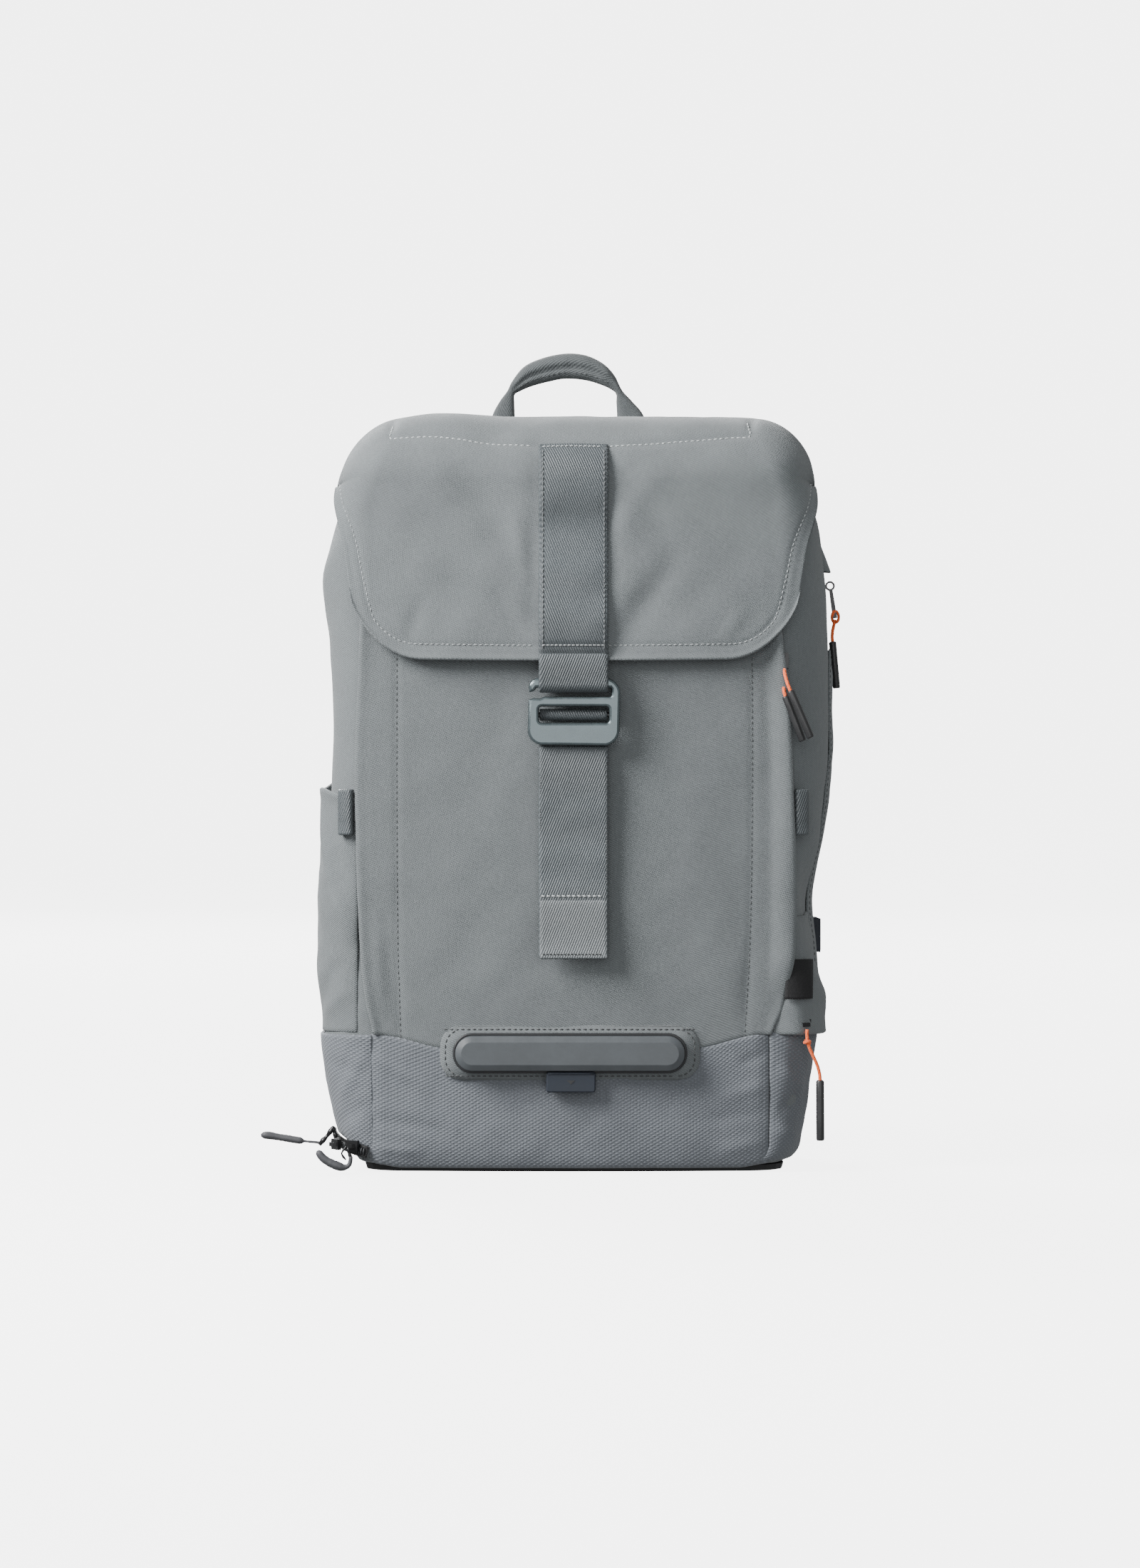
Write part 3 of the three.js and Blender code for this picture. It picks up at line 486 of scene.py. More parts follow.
def stitches(name, at, path, body=None, thread=THREAD, pitch=3.3, length=2.3, radius=0.3, lift=0.05,
             slot="webbing", slant=0.0, fine=1.0):
    """A row of stitches, each a small bowed thread, along a path of the surface at(s, z, lift)."""
    ground = [Vector((*p, 0)) for p in path]
    if len(ground) > 2:
        flat = curve_through(ground, fine)
    else:
        flat = [ground[0].lerp(ground[1], k / 60) for k in range(61)]
    line = [Vector(at(p.x, p.y, lift)) for p in flat]
    outward = [(Vector(at(p.x, p.y, lift + 1)) - q).normalized() for p, q in zip(flat, line)]
    runs = running_length(line)
    points, faces = [], []
    for n in range(int(runs[-1] / pitch)):
        centre = (n + 0.5) * pitch
        k = next(i for i in range(len(runs) - 1) if runs[i + 1] >= centre)
        tangent = (line[k + 1] - line[k]).normalized()
        middle = line[k] + tangent * (centre - runs[k])
        out = outward[k]
        side = tangent.cross(out).normalized()
        along = (tangent + side * slant).normalized()
        side = along.cross(out).normalized()
        start = len(points)
        for step, (place, width, height) in enumerate(
            ((-0.5, 0.35, -0.7), (-0.36, 0.9, 0.0), (0, 1.0, 0.55), (0.36, 0.9, 0.0), (0.5, 0.35, -0.7))
        ):
            ring_middle = middle + along * (place * length) + out * (height * radius)
            for corner in range(6):
                angle = corner * math.pi / 3
                offset = side * math.cos(angle) + out * math.sin(angle)
                points.append(ring_middle + offset * radius * width)
            if step:
                for corner in range(6):
                    a = start + (step - 1) * 6 + corner
                    b = start + (step - 1) * 6 + (corner + 1) % 6
                    faces.append((b, a, a + 6, b + 6))
        faces.append(tuple(start + c for c in range(6)))
        faces.append(tuple(start + 24 + c for c in range(6))[::-1])
    uvs = [(p.x * MM, p.z * MM) for p in points]
    return piece(name, points, faces, (thread, slot), body, uvs)


def smoothstep(x, low, high):
    t = min(1.0, max(0.0, (x - low) / (high - low)))
    return t * t * (3 - 2 * t)


def table(stations, x):
    """A smooth curve through [place, value] stations."""
    if x <= stations[0][0]:
        return stations[0][1]
    for k in range(len(stations) - 1):
        (xa, a), (xb, b) = stations[k], stations[k + 1]
        if x <= xb:
            before = stations[max(k - 1, 0)]
            after = stations[min(k + 2, len(stations) - 1)]
            step = xb - xa
            slope_a = (b - before[1]) / (xb - before[0]) * step
            slope_b = (after[1] - a) / (after[0] - xa) * step
            t = (x - xa) / step
            return (
                a * (2 * t ** 3 - 3 * t * t + 1) + slope_a * (t ** 3 - 2 * t * t + t)
                + b * (3 * t * t - 2 * t ** 3) + slope_b * (t ** 3 - t * t)
            )
    return stations[-1][1]


def ripple(x, y, z, size, depth):
    return depth * noise.noise(Vector((x / size, y / size, z / size)))


def folds(x, z, lines):
    """The depth of soft folds, each (start, end, width, depth), fading at both ends."""
    total = 0.0
    for (x0, z0), (x1, z1), width, depth in lines:
        dx, dz = x1 - x0, z1 - z0
        along = ((x - x0) * dx + (z - z0) * dz) / (dx * dx + dz * dz)
        if -0.1 < along < 1.1:
            off = ((x - x0) * dz - (z - z0) * dx) / math.hypot(dx, dz)
            fade = math.sin(math.pi * (along + 0.1) / 1.2)
            total += depth * fade * hump(off, width)
    return total


# ---- the bag's outline --------------------------------------------------------

BACK = 70         # where the back lies, in Y
BACK_RADIUS = 24  # of the corners at the back
BOW = 5           # how far the front stands out at its middle
T_MM = 40         # about how many millimetres one step of t is, at the sides
COVER = 3.0       # how far the front cloths lie over the body
FRONT_Y = -70     # the body's flat front
HALF = {-1: [(3, 120), (9, 124), (14, 128), (24, 132), (36, 134.5), (52, 138), (76, 141), (140, 140.5),
             (222, 137), (285, 137), (325, 141.5), (345, 141), (370, 135), (385, 130.5), (398, 125),
             (410, 117)], 1: [(3, 122), (10, 129), (20, 132), (35, 134.5), (50, 136), (62, 138), (78, 141),
                              (99, 142), (119, 139.6), (131, 139.4), (147, 137.8), (158, 137.9),
                              (170, 139.9), (192, 143.6), (217, 146.8), (241, 149), (270, 149), (306, 149),
                              (343, 147), (370, 143), (385, 138), (398, 131), (410, 122)],}
FLAT = {-1: 111, 1: 116}
CORNER_DEEP = {-1: 31, 1: 40}
FRONT_IN = [(0, 6), (8, 2.5), (20, 0.6), (40, 0), (340, 0), (398, 4), (410, 13)]


def half_at(side, z):
    return table(HALF[side], z)


def front_at(z):
    return FRONT_Y + table(FRONT_IN, z)


def flat_at(side, z):
    return min(FLAT[side], half_at(side, z) - 15)


def front_skin(x, z, lift=0.0):
    """The body's front and corners, by x."""
    side = 1 if x > 0 else -1
    flat = flat_at(side, z)
    reach = half_at(side, z) - flat
    if abs(x) <= flat:
        return Vector((x, front_at(z) - BOW * (1 - (x / flat) ** 2) - lift, z))
    angle = math.asin(min(1.0, (abs(x) - flat) / reach))
    return corner(side, angle, z, lift)


def corner(side, angle, z, lift):
    """A point some angle round a front corner."""
    flat = flat_at(side, z)
    deep = CORNER_DEEP[side]
    reach = half_at(side, z) - flat
    out = Vector((math.sin(angle) / reach, -math.cos(angle) / deep)).normalized()
    x = flat + reach * math.sin(angle) + out.x * lift
    y = front_at(z) + deep * (1 - math.cos(angle)) + out.y * lift
    return Vector((side * x, y, z))


def skin(t, z, lift=0.0):
    """The whole body: t is 0 at the front's middle and 5 at the back's, negative to the left."""
    side = 1 if t > 0 else -1
    t = abs(t)
    half = half_at(side, z)
    flat = flat_at(side, z)
    if t <= 1:
        return front_skin(side * max(t * flat, 1e-6), z, lift)
    if t <= 2:
        return corner(side, (t - 1) * math.pi / 2, z, lift)
    start = front_at(z) + CORNER_DEEP[side]
    if t <= 3:
        y = start + (BACK - BACK_RADIUS - start) * (t - 2)
        return Vector((side * (half + lift), y, z))
    if t <= 4:
        angle = (t - 3) * math.pi / 2
        reach = BACK_RADIUS + lift
        return Vector((side * (half - BACK_RADIUS + reach * math.cos(angle)),
                       BACK - BACK_RADIUS + reach * math.sin(angle), z))
    return Vector((side * (half - BACK_RADIUS) * (5 - t), BACK + lift, z))


# Folds of the right side's cloth, in its own t and z, where the pocket pulls at the corner.
RIGHT_FOLDS = [((1.22, 205), (2.1, 128), 9, -2.6), ((1.2, 158), (2.2, 108), 7, -1.8),
               ((1.25, 182), (2.0, 180), 16, 1.6), ((1.3, 118), (1.9, 92), 6, 1.2)]
LEFT_FOLDS = [((1.25, 196), (1.75, 120), 6, 1.3), ((1.3, 130), (1.9, 92), 9, -1.4),
              ((1.2, 372), (2.0, 330), 8, 1.4), ((1.4, 330), (2.1, 300), 10, -1.1)]


def body_cloth(t, z, lift=0.0):
    """The side and back cloth with its folds, which measure alike both ways."""
    lines = RIGHT_FOLDS if t > 0 else LEFT_FOLDS
    scaled = [((a * T_MM, za), (b * T_MM, zb), w, d) for (a, za), (b, zb), w, d in lines]
    relief = folds(abs(t) * T_MM, z, scaled)
    p = skin(t, z)
    soft = smoothstep(z, 4, 20) * (1 - smoothstep(z, 385, 398))
    relief += (ripple(p.x, p.y, p.z, 46, 1.3) + ripple(p.x, p.y, p.z, 17, 0.5)) * soft
    return skin(t, z, lift + relief)


# ---- bag body -----------------------------------------------------------------


def bag_body():
    floor, rim = 5.5, 409.0
    stops = [-5, -4, -3, -2, -1, -0.5, 0.5, 1, 2, 3, 4, 5]
    shares = [3, 10, 22, 18, 3, 2, 3, 18, 22, 10, 3]
    steps = []
    for a, b, n in zip(stops, stops[1:], shares):
        steps += [a + (b - a) * k / n for k in range(n)]
    columns = len(steps)
    round_it = [skin(t if t else 1e-6, 200) for t in steps]
    lengths = running_length(round_it + round_it[:1])

    def at(a, b, lift):
        t = steps[round(a * columns) % columns]
        z = floor + (rim - floor) * b
        return body_cloth(t if t else 1e-6, z, lift)

    def cut(a, b):
        return lengths[round(a * columns)], floor + (rim - floor) * b

    body = sheet("bag_cloth", at, columns, 96, 2.4, "shell_fabric", "bag", wrap=True,
                 cut=cut)
    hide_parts("bag_shell")

    def plain_floor(a, b, lift):
        x = -118 + 238 * a
        return Vector((x, -62 + 126 * b, 8.2 + lift + ripple(x, b * 100, 0, 40, 0.6)))

    sheet("floor_lining", plain_floor, 20, 12, 2.0, (LINING, "shell_fabric"), "bag")

    def binding(a):
        t = 10 * a - 5
        return body_cloth(t if abs(t) > 1e-6 else 1e-6, rim - 1.5, -1.2)

    tube("rim_binding", [binding(k / 120) for k in range(121)], 2.1, (BINDING, "shell_fabric"), "bag", 8)


# Front panel: its edges by height, and the height of its foot.
PANEL_LEFT = [(60, -109), (82, -111.7), (98, -114.9), (130, -118), (178, -119.6), (231, -120.2),
              (290, -118.5), (345, -117)]
PANEL_RIGHT = [(60, 111), (79, 114), (94, 119.5), (110, 122.3), (134, 124), (178, 124.3), (228, 123.9),
               (259, 122.8), (282, 121.4), (301, 119.5), (345, 117)]
PANEL_TOP = 345
DOCK_HALF = 66
FRONT_FOLDS = [((-22, 296), (-62, 205), 16, -0.9), ((26, 296), (58, 225), 14, -1.0),
               ((-104, 130), (-96, 82), 5, -1.1), ((-110, 150), (-108, 90), 4, 0.9),
               ((104, 135), (98, 80), 5, -1.0), ((-60, 190), (-85, 110), 15, 0.8),
               ((70, 200), (88, 100), 14, 0.8), ((-20, 150), (-55, 100), 12, 0.7),
               ((30, 150), (60, 96), 12, 0.6), ((24, 118), (60, 128), 10, -0.6)]


def panel_foot(x):
    return 70.8 + 8.2 * smoothstep(abs(x), DOCK_HALF, 112)


def front_cloth(x, z, lift=0.0):
    relief = folds(x, z, FRONT_FOLDS)
    relief += ripple(x, 0, z, 42, 0.9) + ripple(x, 9, z, 15, 0.3)
    for edge in (-98.5, 103.5):
        bend = table([(70, 2.2 if edge < 0 else -4.5), (130, 0.6 if edge < 0 else -1.5), (200, 0),
                      (345, 0)], z)
        relief -= 0.55 * hump(x - edge - bend, 1.6)
    return front_skin(x, z, lift + COVER + relief)


def front_panel():
    def at(a, b, lift):
        edge_left, edge_right = table(PANEL_LEFT, 80 + 265 * b), table(PANEL_RIGHT, 80 + 265 * b)
        x = edge_left + (edge_right - edge_left) * a
        foot = panel_foot(x)
        z = foot + (PANEL_TOP - foot) * b
        roll = 1.6 * hump(x - edge_left, 3.0) + 0.8 * hump(edge_right - x, 2.5)
        storm = 4.5 * smoothstep(x, edge_right - 11, edge_right - 1) * smoothstep(z, 98, 124)
        return front_cloth(x, z, lift + roll + storm)

    def cut(a, b):
        return -118 + 238 * a, 71 + 274 * b

    panel = sheet("front_panel_cloth", at, 150, 130, 1.8, "front_fabric", "bag", cut=cut)
    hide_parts("front_panel", "strap_anchor")
    left = [(-96.2, 76), (-97.9, 130), (-98.5, 200), (-98.5, 300)]
    right = [(99.2, 76), (102.2, 130), (103.5, 200), (103.5, 300)]
    for name, path in (("panel_stitch_left", left), ("panel_stitch_right", right)):
        stitches(name, front_cloth, path, "bag", DARK_THREAD, slot="front_fabric")


# ---- base ---------------------------------------------------------------------

CORNER_FOLDS = {
    -1: [((44, 70), (60, 40), 4, 1.1), ((44, 40), (66, 26), 4, -1.0), ((44, 56), (62, 60), 4, -0.7)],
    1: [((44, 60), (64, 44), 4, 1.6), ((44, 36), (66, 44), 4, -1.5), ((42, 24), (64, 18), 4, 1.5),
        ((52, 70), (56, 40), 4, -1.4)],
}
BASE_LEFT, BASE_RIGHT = -113.0, 112.6
BASE_FOLDS = [((-112, 66), (-80, 48), 4, 1.0), ((-112, 30), (-70, 24), 4, -0.9),
              ((-112, 14), (-84, 12), 3, 1.0), ((112, 50), (84, 42), 4, 1.1),
              ((112, 34), (70, 30), 4, -0.9), ((112, 18), (84, 12), 4, 1.0), ((112, 68), (96, 62), 3, -0.9),
              ((-60, 44), (-10, 30), 10, -0.7), ((20, 30), (80, 22), 9, 0.6)]


def base_cloth(x, z, lift=0.0):
    relief = folds(x, z, BASE_FOLDS) + ripple(x, 4, z, 30, 0.9) + ripple(x, 7, z, 11, 0.35)
    tuck = 2.6 * hump(x - BASE_LEFT, 3.5) + 2.6 * hump(x - BASE_RIGHT, 3.5)
    return front_skin(x, z, lift + COVER + relief - tuck * 0.5)


def base():
    def front(a, b, lift):
        x = BASE_LEFT + (BASE_RIGHT - BASE_LEFT) * a
        foot = 3.2 + 2.4 * smoothstep(abs(x), 95, 113)
        head = panel_foot(x) - 0.9
        return base_cloth(x, foot + (head - foot) * b, lift)

    def cut(a, b):
        return -113 + 226 * a, 3 + 72 * b

    band = sheet("base_front", front, 120, 40, 2.0, "base_fabric", "bag", cut=cut)

    start = {-1: 1.045, 1: 0.985}
    for name, side in (("base_side_left", -1), ("base_side_right", 1)):
        def wrap(a, b, lift, side=side):
            t = side * (start[side] + (4.6 - start[side]) * a ** 1.25)
            p = skin(t, 40)
            foot = 7.0 - 2.0 * smoothstep(abs(t), 2.2, 3)
            if side < 0:
                foot += (7.5 + 6.5 * smoothstep(abs(t), 1.1, 1.9)) * (1 - smoothstep(abs(t), 2.15, 2.7))
            head = 77.5 if side < 0 else 79.5
            z = foot + (head - foot) * b
            dent = folds(abs(t) * T_MM, z, CORNER_FOLDS[side])
            soft = ripple(p.x, p.y, z, 24, 1.2) + ripple(p.x, p.y, z, 9, 0.4)
            return skin(t, z, lift + 2.2 + soft + dent)

        sheet(name, wrap, 90, 36, 2.0, "base_fabric", "bag", sign=side)
    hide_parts("base_band")


# ---- side pockets -------------------------------------------------------------

POCKET_FOLDS = [((76, 214), (61, 160), 3.6, 2.6), ((61, 160), (50, 132), 3.4, 2.2),
                ((68, 206), (54, 156), 5, -1.6), ((84, 190), (72, 120), 7, -1.2),
                ((56, 120), (76, 92), 5, -1.4), ((52, 104), (70, 88), 4, 1.0)]
HOOD_FOLDS = [((52, 128), (74, 92), 5, 1.2), ((60, 84), (80, 104), 5, -1.1)]
POCKET_FROM, POCKET_TO = 1.22, 3.1  # the bottle pocket's ends, in t


def side_pockets():
    """The open bottle pocket at the left and the zipped one at the right."""
    def bottle(a, b, lift):
        t = -(POCKET_FROM + (POCKET_TO - POCKET_FROM) * a)
        mouth = 222 - 9 * smoothstep(1.9 + t, 0, 0.7) - 4 * math.sin(math.pi * a)
        z = 80 + (mouth - 80) * b
        hollow = math.sin(math.pi * min(1, a * 1.02)) ** 0.7
        swell = (1.2 + 4.6 * hollow * smoothstep(b, 0, 0.25)) * (0.85 + 0.15 * b)
        p = skin(t, z)
        relief = ripple(p.x, p.y, p.z, 30, 1.3) + ripple(p.x, p.y, p.z, 12, 0.4)
        relief += folds(abs(t) * T_MM, z, POCKET_FOLDS)
        return skin(t, z, lift + swell + relief + 1.2 * hump(1 - b, 0.03))

    pocket = sheet("bottle_pocket_cloth", bottle, 60, 60, 1.6, "shell_fabric", "bag", sign=-1)
    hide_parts("bottle_pocket")

    def zipped(a, b, lift):
        t = 2.05 + 0.95 * a
        z = 92 + 206 * b
        edge = min(a, 1 - a, b * 2, (1 - b) * 2)
        p = body_cloth(t, z, 0)
        crown = 2.6 * smoothstep(edge, 0, 0.16)
        out = body_cloth(t, z, 1) - p
        return p + out * (lift + 1.6 + crown + ripple(p.x, p.y, p.z, 26, 0.8))

    cover = sheet("zip_pocket_cloth", zipped, 36, 70, 1.4, "shell_fabric", "bag")
    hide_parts("zip_pocket_right")
    border = [(0.05, 0.03), (0.05, 0.5), (0.05, 0.97), (0.5, 0.975), (0.95, 0.97), (0.95, 0.5),
              (0.95, 0.03), (0.5, 0.025), (0.06, 0.03)]
    stitches("zip_pocket_stitch", zipped, border, "bag", DARK_THREAD, slot="shell_fabric", fine=0.01)


def side_hood():
    """The side's overhanging foot, which hides the lower zip and rolls under at its hem."""
    def at(a, b, lift):
        t = 1.0 + 1.7 * a
        z = 79.0 + 3.5 * smoothstep(t, 1.6, 2.4) + 66 * b
        fall = 7.4 * (1 - b) ** 1.3 * smoothstep(t, 1.0, 1.3) * (1 - 0.72 * smoothstep(t, 1.55, 2.1))
        fall *= 1 - smoothstep(a, 0.7, 1.0)
        p = body_cloth(t, z, 0)
        out = body_cloth(t, z, 1) - p
        puff = 1.0 * hump(b - 0.22, 0.16) * math.sin(math.pi * a)
        dent = folds(t * T_MM, z, HOOD_FOLDS)
        return p + out * (lift + 1.4 + fall + puff + dent + ripple(p.x, p.y, z, 13, 0.5))

    sheet("side_hood", at, 44, 40, 1.6, "shell_fabric", "bag")


# ---- flap ---------------------------------------------------------------------

FLAP_FLAT = {-1: 112, 1: 117}
FLAP_CORNER = 36.0
HEM_CORNER = 37.0
HEM_STITCH = 8.0
FLAP_START = 291.5                    # the hem, measured along the flap's middle line
FLAP_WIDEST = 325                     # where its hem is as wide as it gets
FLAP_FRONT_Y = -86.5
FOLD_FROM, FOLD_RADIUS = 392.0, 40.0  # where the front turns into the top
FOLD_FRONT_Y = -84.5
LID_FROM, LID_TO = 378, 432           # over which the front's section becomes the lid's
FOLD_END = FOLD_FROM + FOLD_RADIUS * math.pi / 2
LID_BACK_Y = 70.0
FLAP_END = FOLD_END + LID_BACK_Y - FLAP_FRONT_Y - FOLD_RADIUS
EDGE_TURN = [(280, 10), (300, 13), (320, 17), (340, 22), (357, 28), (370, 38), (381, 51), (392, 68),
             (402, 84), (414, 92), (440, 98), (600, 98)]
LID_HALF = {-1: 133.5, 1: 140.5}
LID_CORNER = {-1: 36.0, 1: 35.0}
LID_TUCK = 9.0
LID_SAG = {-1: 2.4, 1: 0.9}
FLAP_FOLDS = [((-20, 300), (-78, 345), 9, -1.7), ((-24, 345), (-62, 398), 11, -2.2),
              ((-40, 312), (-108, 366), 15, 1.2), ((24, 300), (62, 350), 8, -2.0),
              ((30, 396), (62, 352), 9, -1.4), ((24, 360), (52, 404), 9, 1.7),
              ((-102, 425), (-100, 452), 2.6, -1.7), ((103, 425), (105, 452), 2.6, -1.7),
              ((-26, 304), (-44, 330), 4, -0.9), ((-92, 302), (-84, 326), 5, -0.9),
              ((86, 302), (100, 322), 5, 0.8), ((-24, 336), (-33, 376), 4, 0.8),
              ((-30, 430), (-58, 416), 9, -1.4), ((60, 300), (112, 345), 13, 0.8),
              ((88, 414), (112, 380), 10, 0.9), ((-112, 414), (-92, 372), 12, 0.9),
              ((-18, 420), (-22, 300), 5, -0.9), ((22, 420), (26, 300), 5, -0.9)]


def flap_middle(b):
    """The flap's middle line from hem to back: its point and its outward normal, in Y and Z."""
    if b <= FOLD_FROM:
        return (FLAP_FRONT_Y + 0.02 * (b - FLAP_START), b), (-1.0, 0.0)
    hub = (FOLD_FRONT_Y + FOLD_RADIUS, FOLD_FROM)
    if b <= FOLD_END:
        angle = (b - FOLD_FROM) / FOLD_RADIUS
        out = (-math.cos(angle), math.sin(angle))
        return (hub[0] + FOLD_RADIUS * out[0], hub[1] + FOLD_RADIUS * out[1]), out
    run = b - FOLD_END
    rise = 4.0 * smoothstep(run, 0, 60) - 3.5 * smoothstep(run, 104, 117)
    return (hub[0] + run, hub[1] + FOLD_RADIUS + rise), (0.0, 1.0)


def flap_flat(side, b):
    """How far from the middle the flap is flat before its round side."""
    lid = smoothstep(b, LID_FROM, LID_TO)
    return FLAP_FLAT[side] * (1 - lid) + (LID_HALF[side] - LID_CORNER[side]) * lid


def flap_cloth(s, b, lift=0.0):
    """The flap's surface: s round it from its middle, b along it from the hem to the back."""
    side = 1 if s > 0 else -1
    (y, z), (ny, nz) = flap_middle(b)
    lid = smoothstep(b, LID_FROM, LID_TO)
    front_half = half_at(side, min(z, 398)) + 9
    half = front_half * (1 - lid) + LID_HALF[side] * lid - LID_TUCK * smoothstep(b, FLAP_END - 40, FLAP_END)
    flat = flap_flat(side, b)
    reach = half - flat
    deep = (CORNER_DEEP[side] + 9) * (1 - lid) + LID_CORNER[side] * lid
    bow = BOW * (1 - lid)
    a = abs(s)
    relief = folds(s, b, FLAP_FOLDS) + ripple(s, b, 3, 48, 1.5) + ripple(s, b, 8, 19, 0.6)
    seam = seam_line(s)
    relief -= 0.9 * hump(b - seam, 1.9) * (1 - smoothstep(a, 100, 108))
    hem = hem_distance(a, b, side)
    relief -= 0.5 * hump(hem - HEM_STITCH, 1.5) * (1 - smoothstep(b, 385, 406))
    lift += relief
    if a <= flat:
        across, drop, out_x, out_n = a, bow * (a / flat) ** 2, 0.0, 1.0
    else:
        angle = (a - flat) / FLAP_CORNER
        beyond = max(0.0, angle - math.pi / 2) * FLAP_CORNER
        angle = min(angle, math.pi / 2)
        across = flat + reach * math.sin(angle)
        drop = bow + deep * (1 - math.cos(angle)) + beyond
        length = math.hypot(math.sin(angle) / reach, math.cos(angle) / deep)
        out_x, out_n = math.sin(angle) / reach / length, math.cos(angle) / deep / length
    sag = lid * (LID_SAG[side] * (across / 100) ** 4 - 3.0 * hump(s + 76, 22))
    level = out_n * lift - drop
    return Vector((side * (across + out_x * lift), y + ny * level, z + nz * level - sag))


def hem_distance(a, b, side):
    """How far a place on the flap is from its cut edge."""
    reach = flap_reach(side, b)
    u, v = a - (reach - HEM_CORNER), FLAP_START + HEM_CORNER - b
    if u > 0 and v > 0:
        return HEM_CORNER - math.hypot(u, v)
    return min(reach - a, b - FLAP_START)


def seam_line(s):
    """The top seam's place along the flap, sagging in the middle."""
    return 414.5 + 8.5 * (s / 102) ** 2


def flap_reach(side, b):
    """How far round the flap's side edge is."""
    return flap_flat(side, b) + FLAP_CORNER * math.radians(table(EDGE_TURN, b))


def flap_hem(share, reach, inset=0.0):
    """The hem's height at a share of the way to the side edge, with a round corner."""
    radius = HEM_CORNER - inset
    into = abs(share) * reach - (reach - radius)
    rise = 0.0 if into <= 0 else radius - math.sqrt(max(0.0, radius * radius - min(into, radius) ** 2))
    return FLAP_START + inset + 1.5 * share * share + rise


def with_flap(obj):
    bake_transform(obj)
    return obj


def flap():
    def share_at(a):
        """The share of the way to the side edge, with the columns closer together at the sides."""
        return math.sin((a * 2 - 1) * math.pi / 2) * 0.55 + (a * 2 - 1) * 0.45

    def at(a, b, lift):
        share = share_at(a)
        side = 1 if share > 0 else -1
        low = flap_hem(share, flap_reach(side, FLAP_WIDEST))
        place = low + (FLAP_END - low) * b ** 1.12
        s = share * flap_reach(side, place)
        roll = 0.9 * hump(place - low, 2.2) + 0.7 * hump(1 - abs(share), 0.015)
        return flap_cloth(s, place, lift + roll)

    def cut(a, b):
        share = share_at(a)
        low = flap_hem(share, flap_reach(1, FLAP_WIDEST))
        return share * flap_reach(1, FLAP_WIDEST), low + (FLAP_END - low) * b ** 1.12

    cover = sheet("flap_cloth", at, 180, 170, 2.2, "flap_fabric", cut=cut)
    with_flap(cover)
    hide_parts("flap_front_panel", "flap_top_panel")

    beside_strap = 21
    for name, side in (("flap_stitch_left", -1), ("flap_stitch_right", 1)):
        path = []
        edge = flap_reach(side, FLAP_WIDEST) - HEM_STITCH
        for k in range(29):
            s = beside_strap + (edge - beside_strap) * (k / 28)
            path.append((side * s, flap_hem(s / edge, edge, HEM_STITCH)))
        for b in range(346, 412, 6):
            path.append((side * (flap_reach(side, b) - HEM_STITCH), b))
        with_flap(stitches(name, flap_cloth, path, slot="flap_fabric", pitch=3.1, length=2.2, radius=0.34))
        tops = [(side * s, seam_line(s)) for s in range(22, 103, 8)]
        tops += [(side * 102, 430), (side * 101, 440)]
        with_flap(stitches(name.replace("stitch", "seam"), flap_cloth, tops, thread=PALE_THREAD,
                           slot="flap_fabric", pitch=3.3, length=2.5, radius=0.38))


# ---- closure webbing and hook -------------------------------------------------

WEB_X, WEB_HALF = 2.0, 19.0
TAIL_HEM = 156  # where the tail's doubled end starts


def web_band(name, centre_line, thick, body, rows, ruffle, half=WEB_HALF):
    """A flat band that follows centre_line(b), a point in Y and Z, for b from 0 to 1."""
    def at(a, b, lift):
        y, z = centre_line(b)
        y2, z2 = centre_line(min(1, b + 0.004))
        y1, z1 = centre_line(max(0, b - 0.004))
        run = math.hypot(y2 - y1, z2 - z1)
        out = (-(z2 - z1) / run, (y2 - y1) / run)
        w = (a * 2 - 1) * half
        rib = 0.16 * math.sin(b * rows * 2.1) * (abs(w) > half - 1.2)
        lift += ripple(w, y, z, 14, ruffle)
        return Vector((WEB_X + w + rib, y + out[0] * lift, z + out[1] * lift))

    return sheet(name, at, 22, rows, thick, "webbing", body)


STRAP_SPAN = (288.5, 415.3)


def on_flap(x, z, lift=0.0):
    """The closure strap's face: sewn down at both ends, in slow waves between."""
    low, high = STRAP_SPAN
    w = (x - WEB_X) / WEB_HALF
    ends = smoothstep(z, low, low + 14) * (1 - smoothstep(z, high - 14, high))
    wave = ends * (1.5 + 1.5 * math.cos(2 * math.pi * (z - 304) / 96) + 0.3 * math.sin(z / 6.0))
    return flap_cloth(x, z, lift + 1.7 + wave + 0.3 * (1 - w * w))


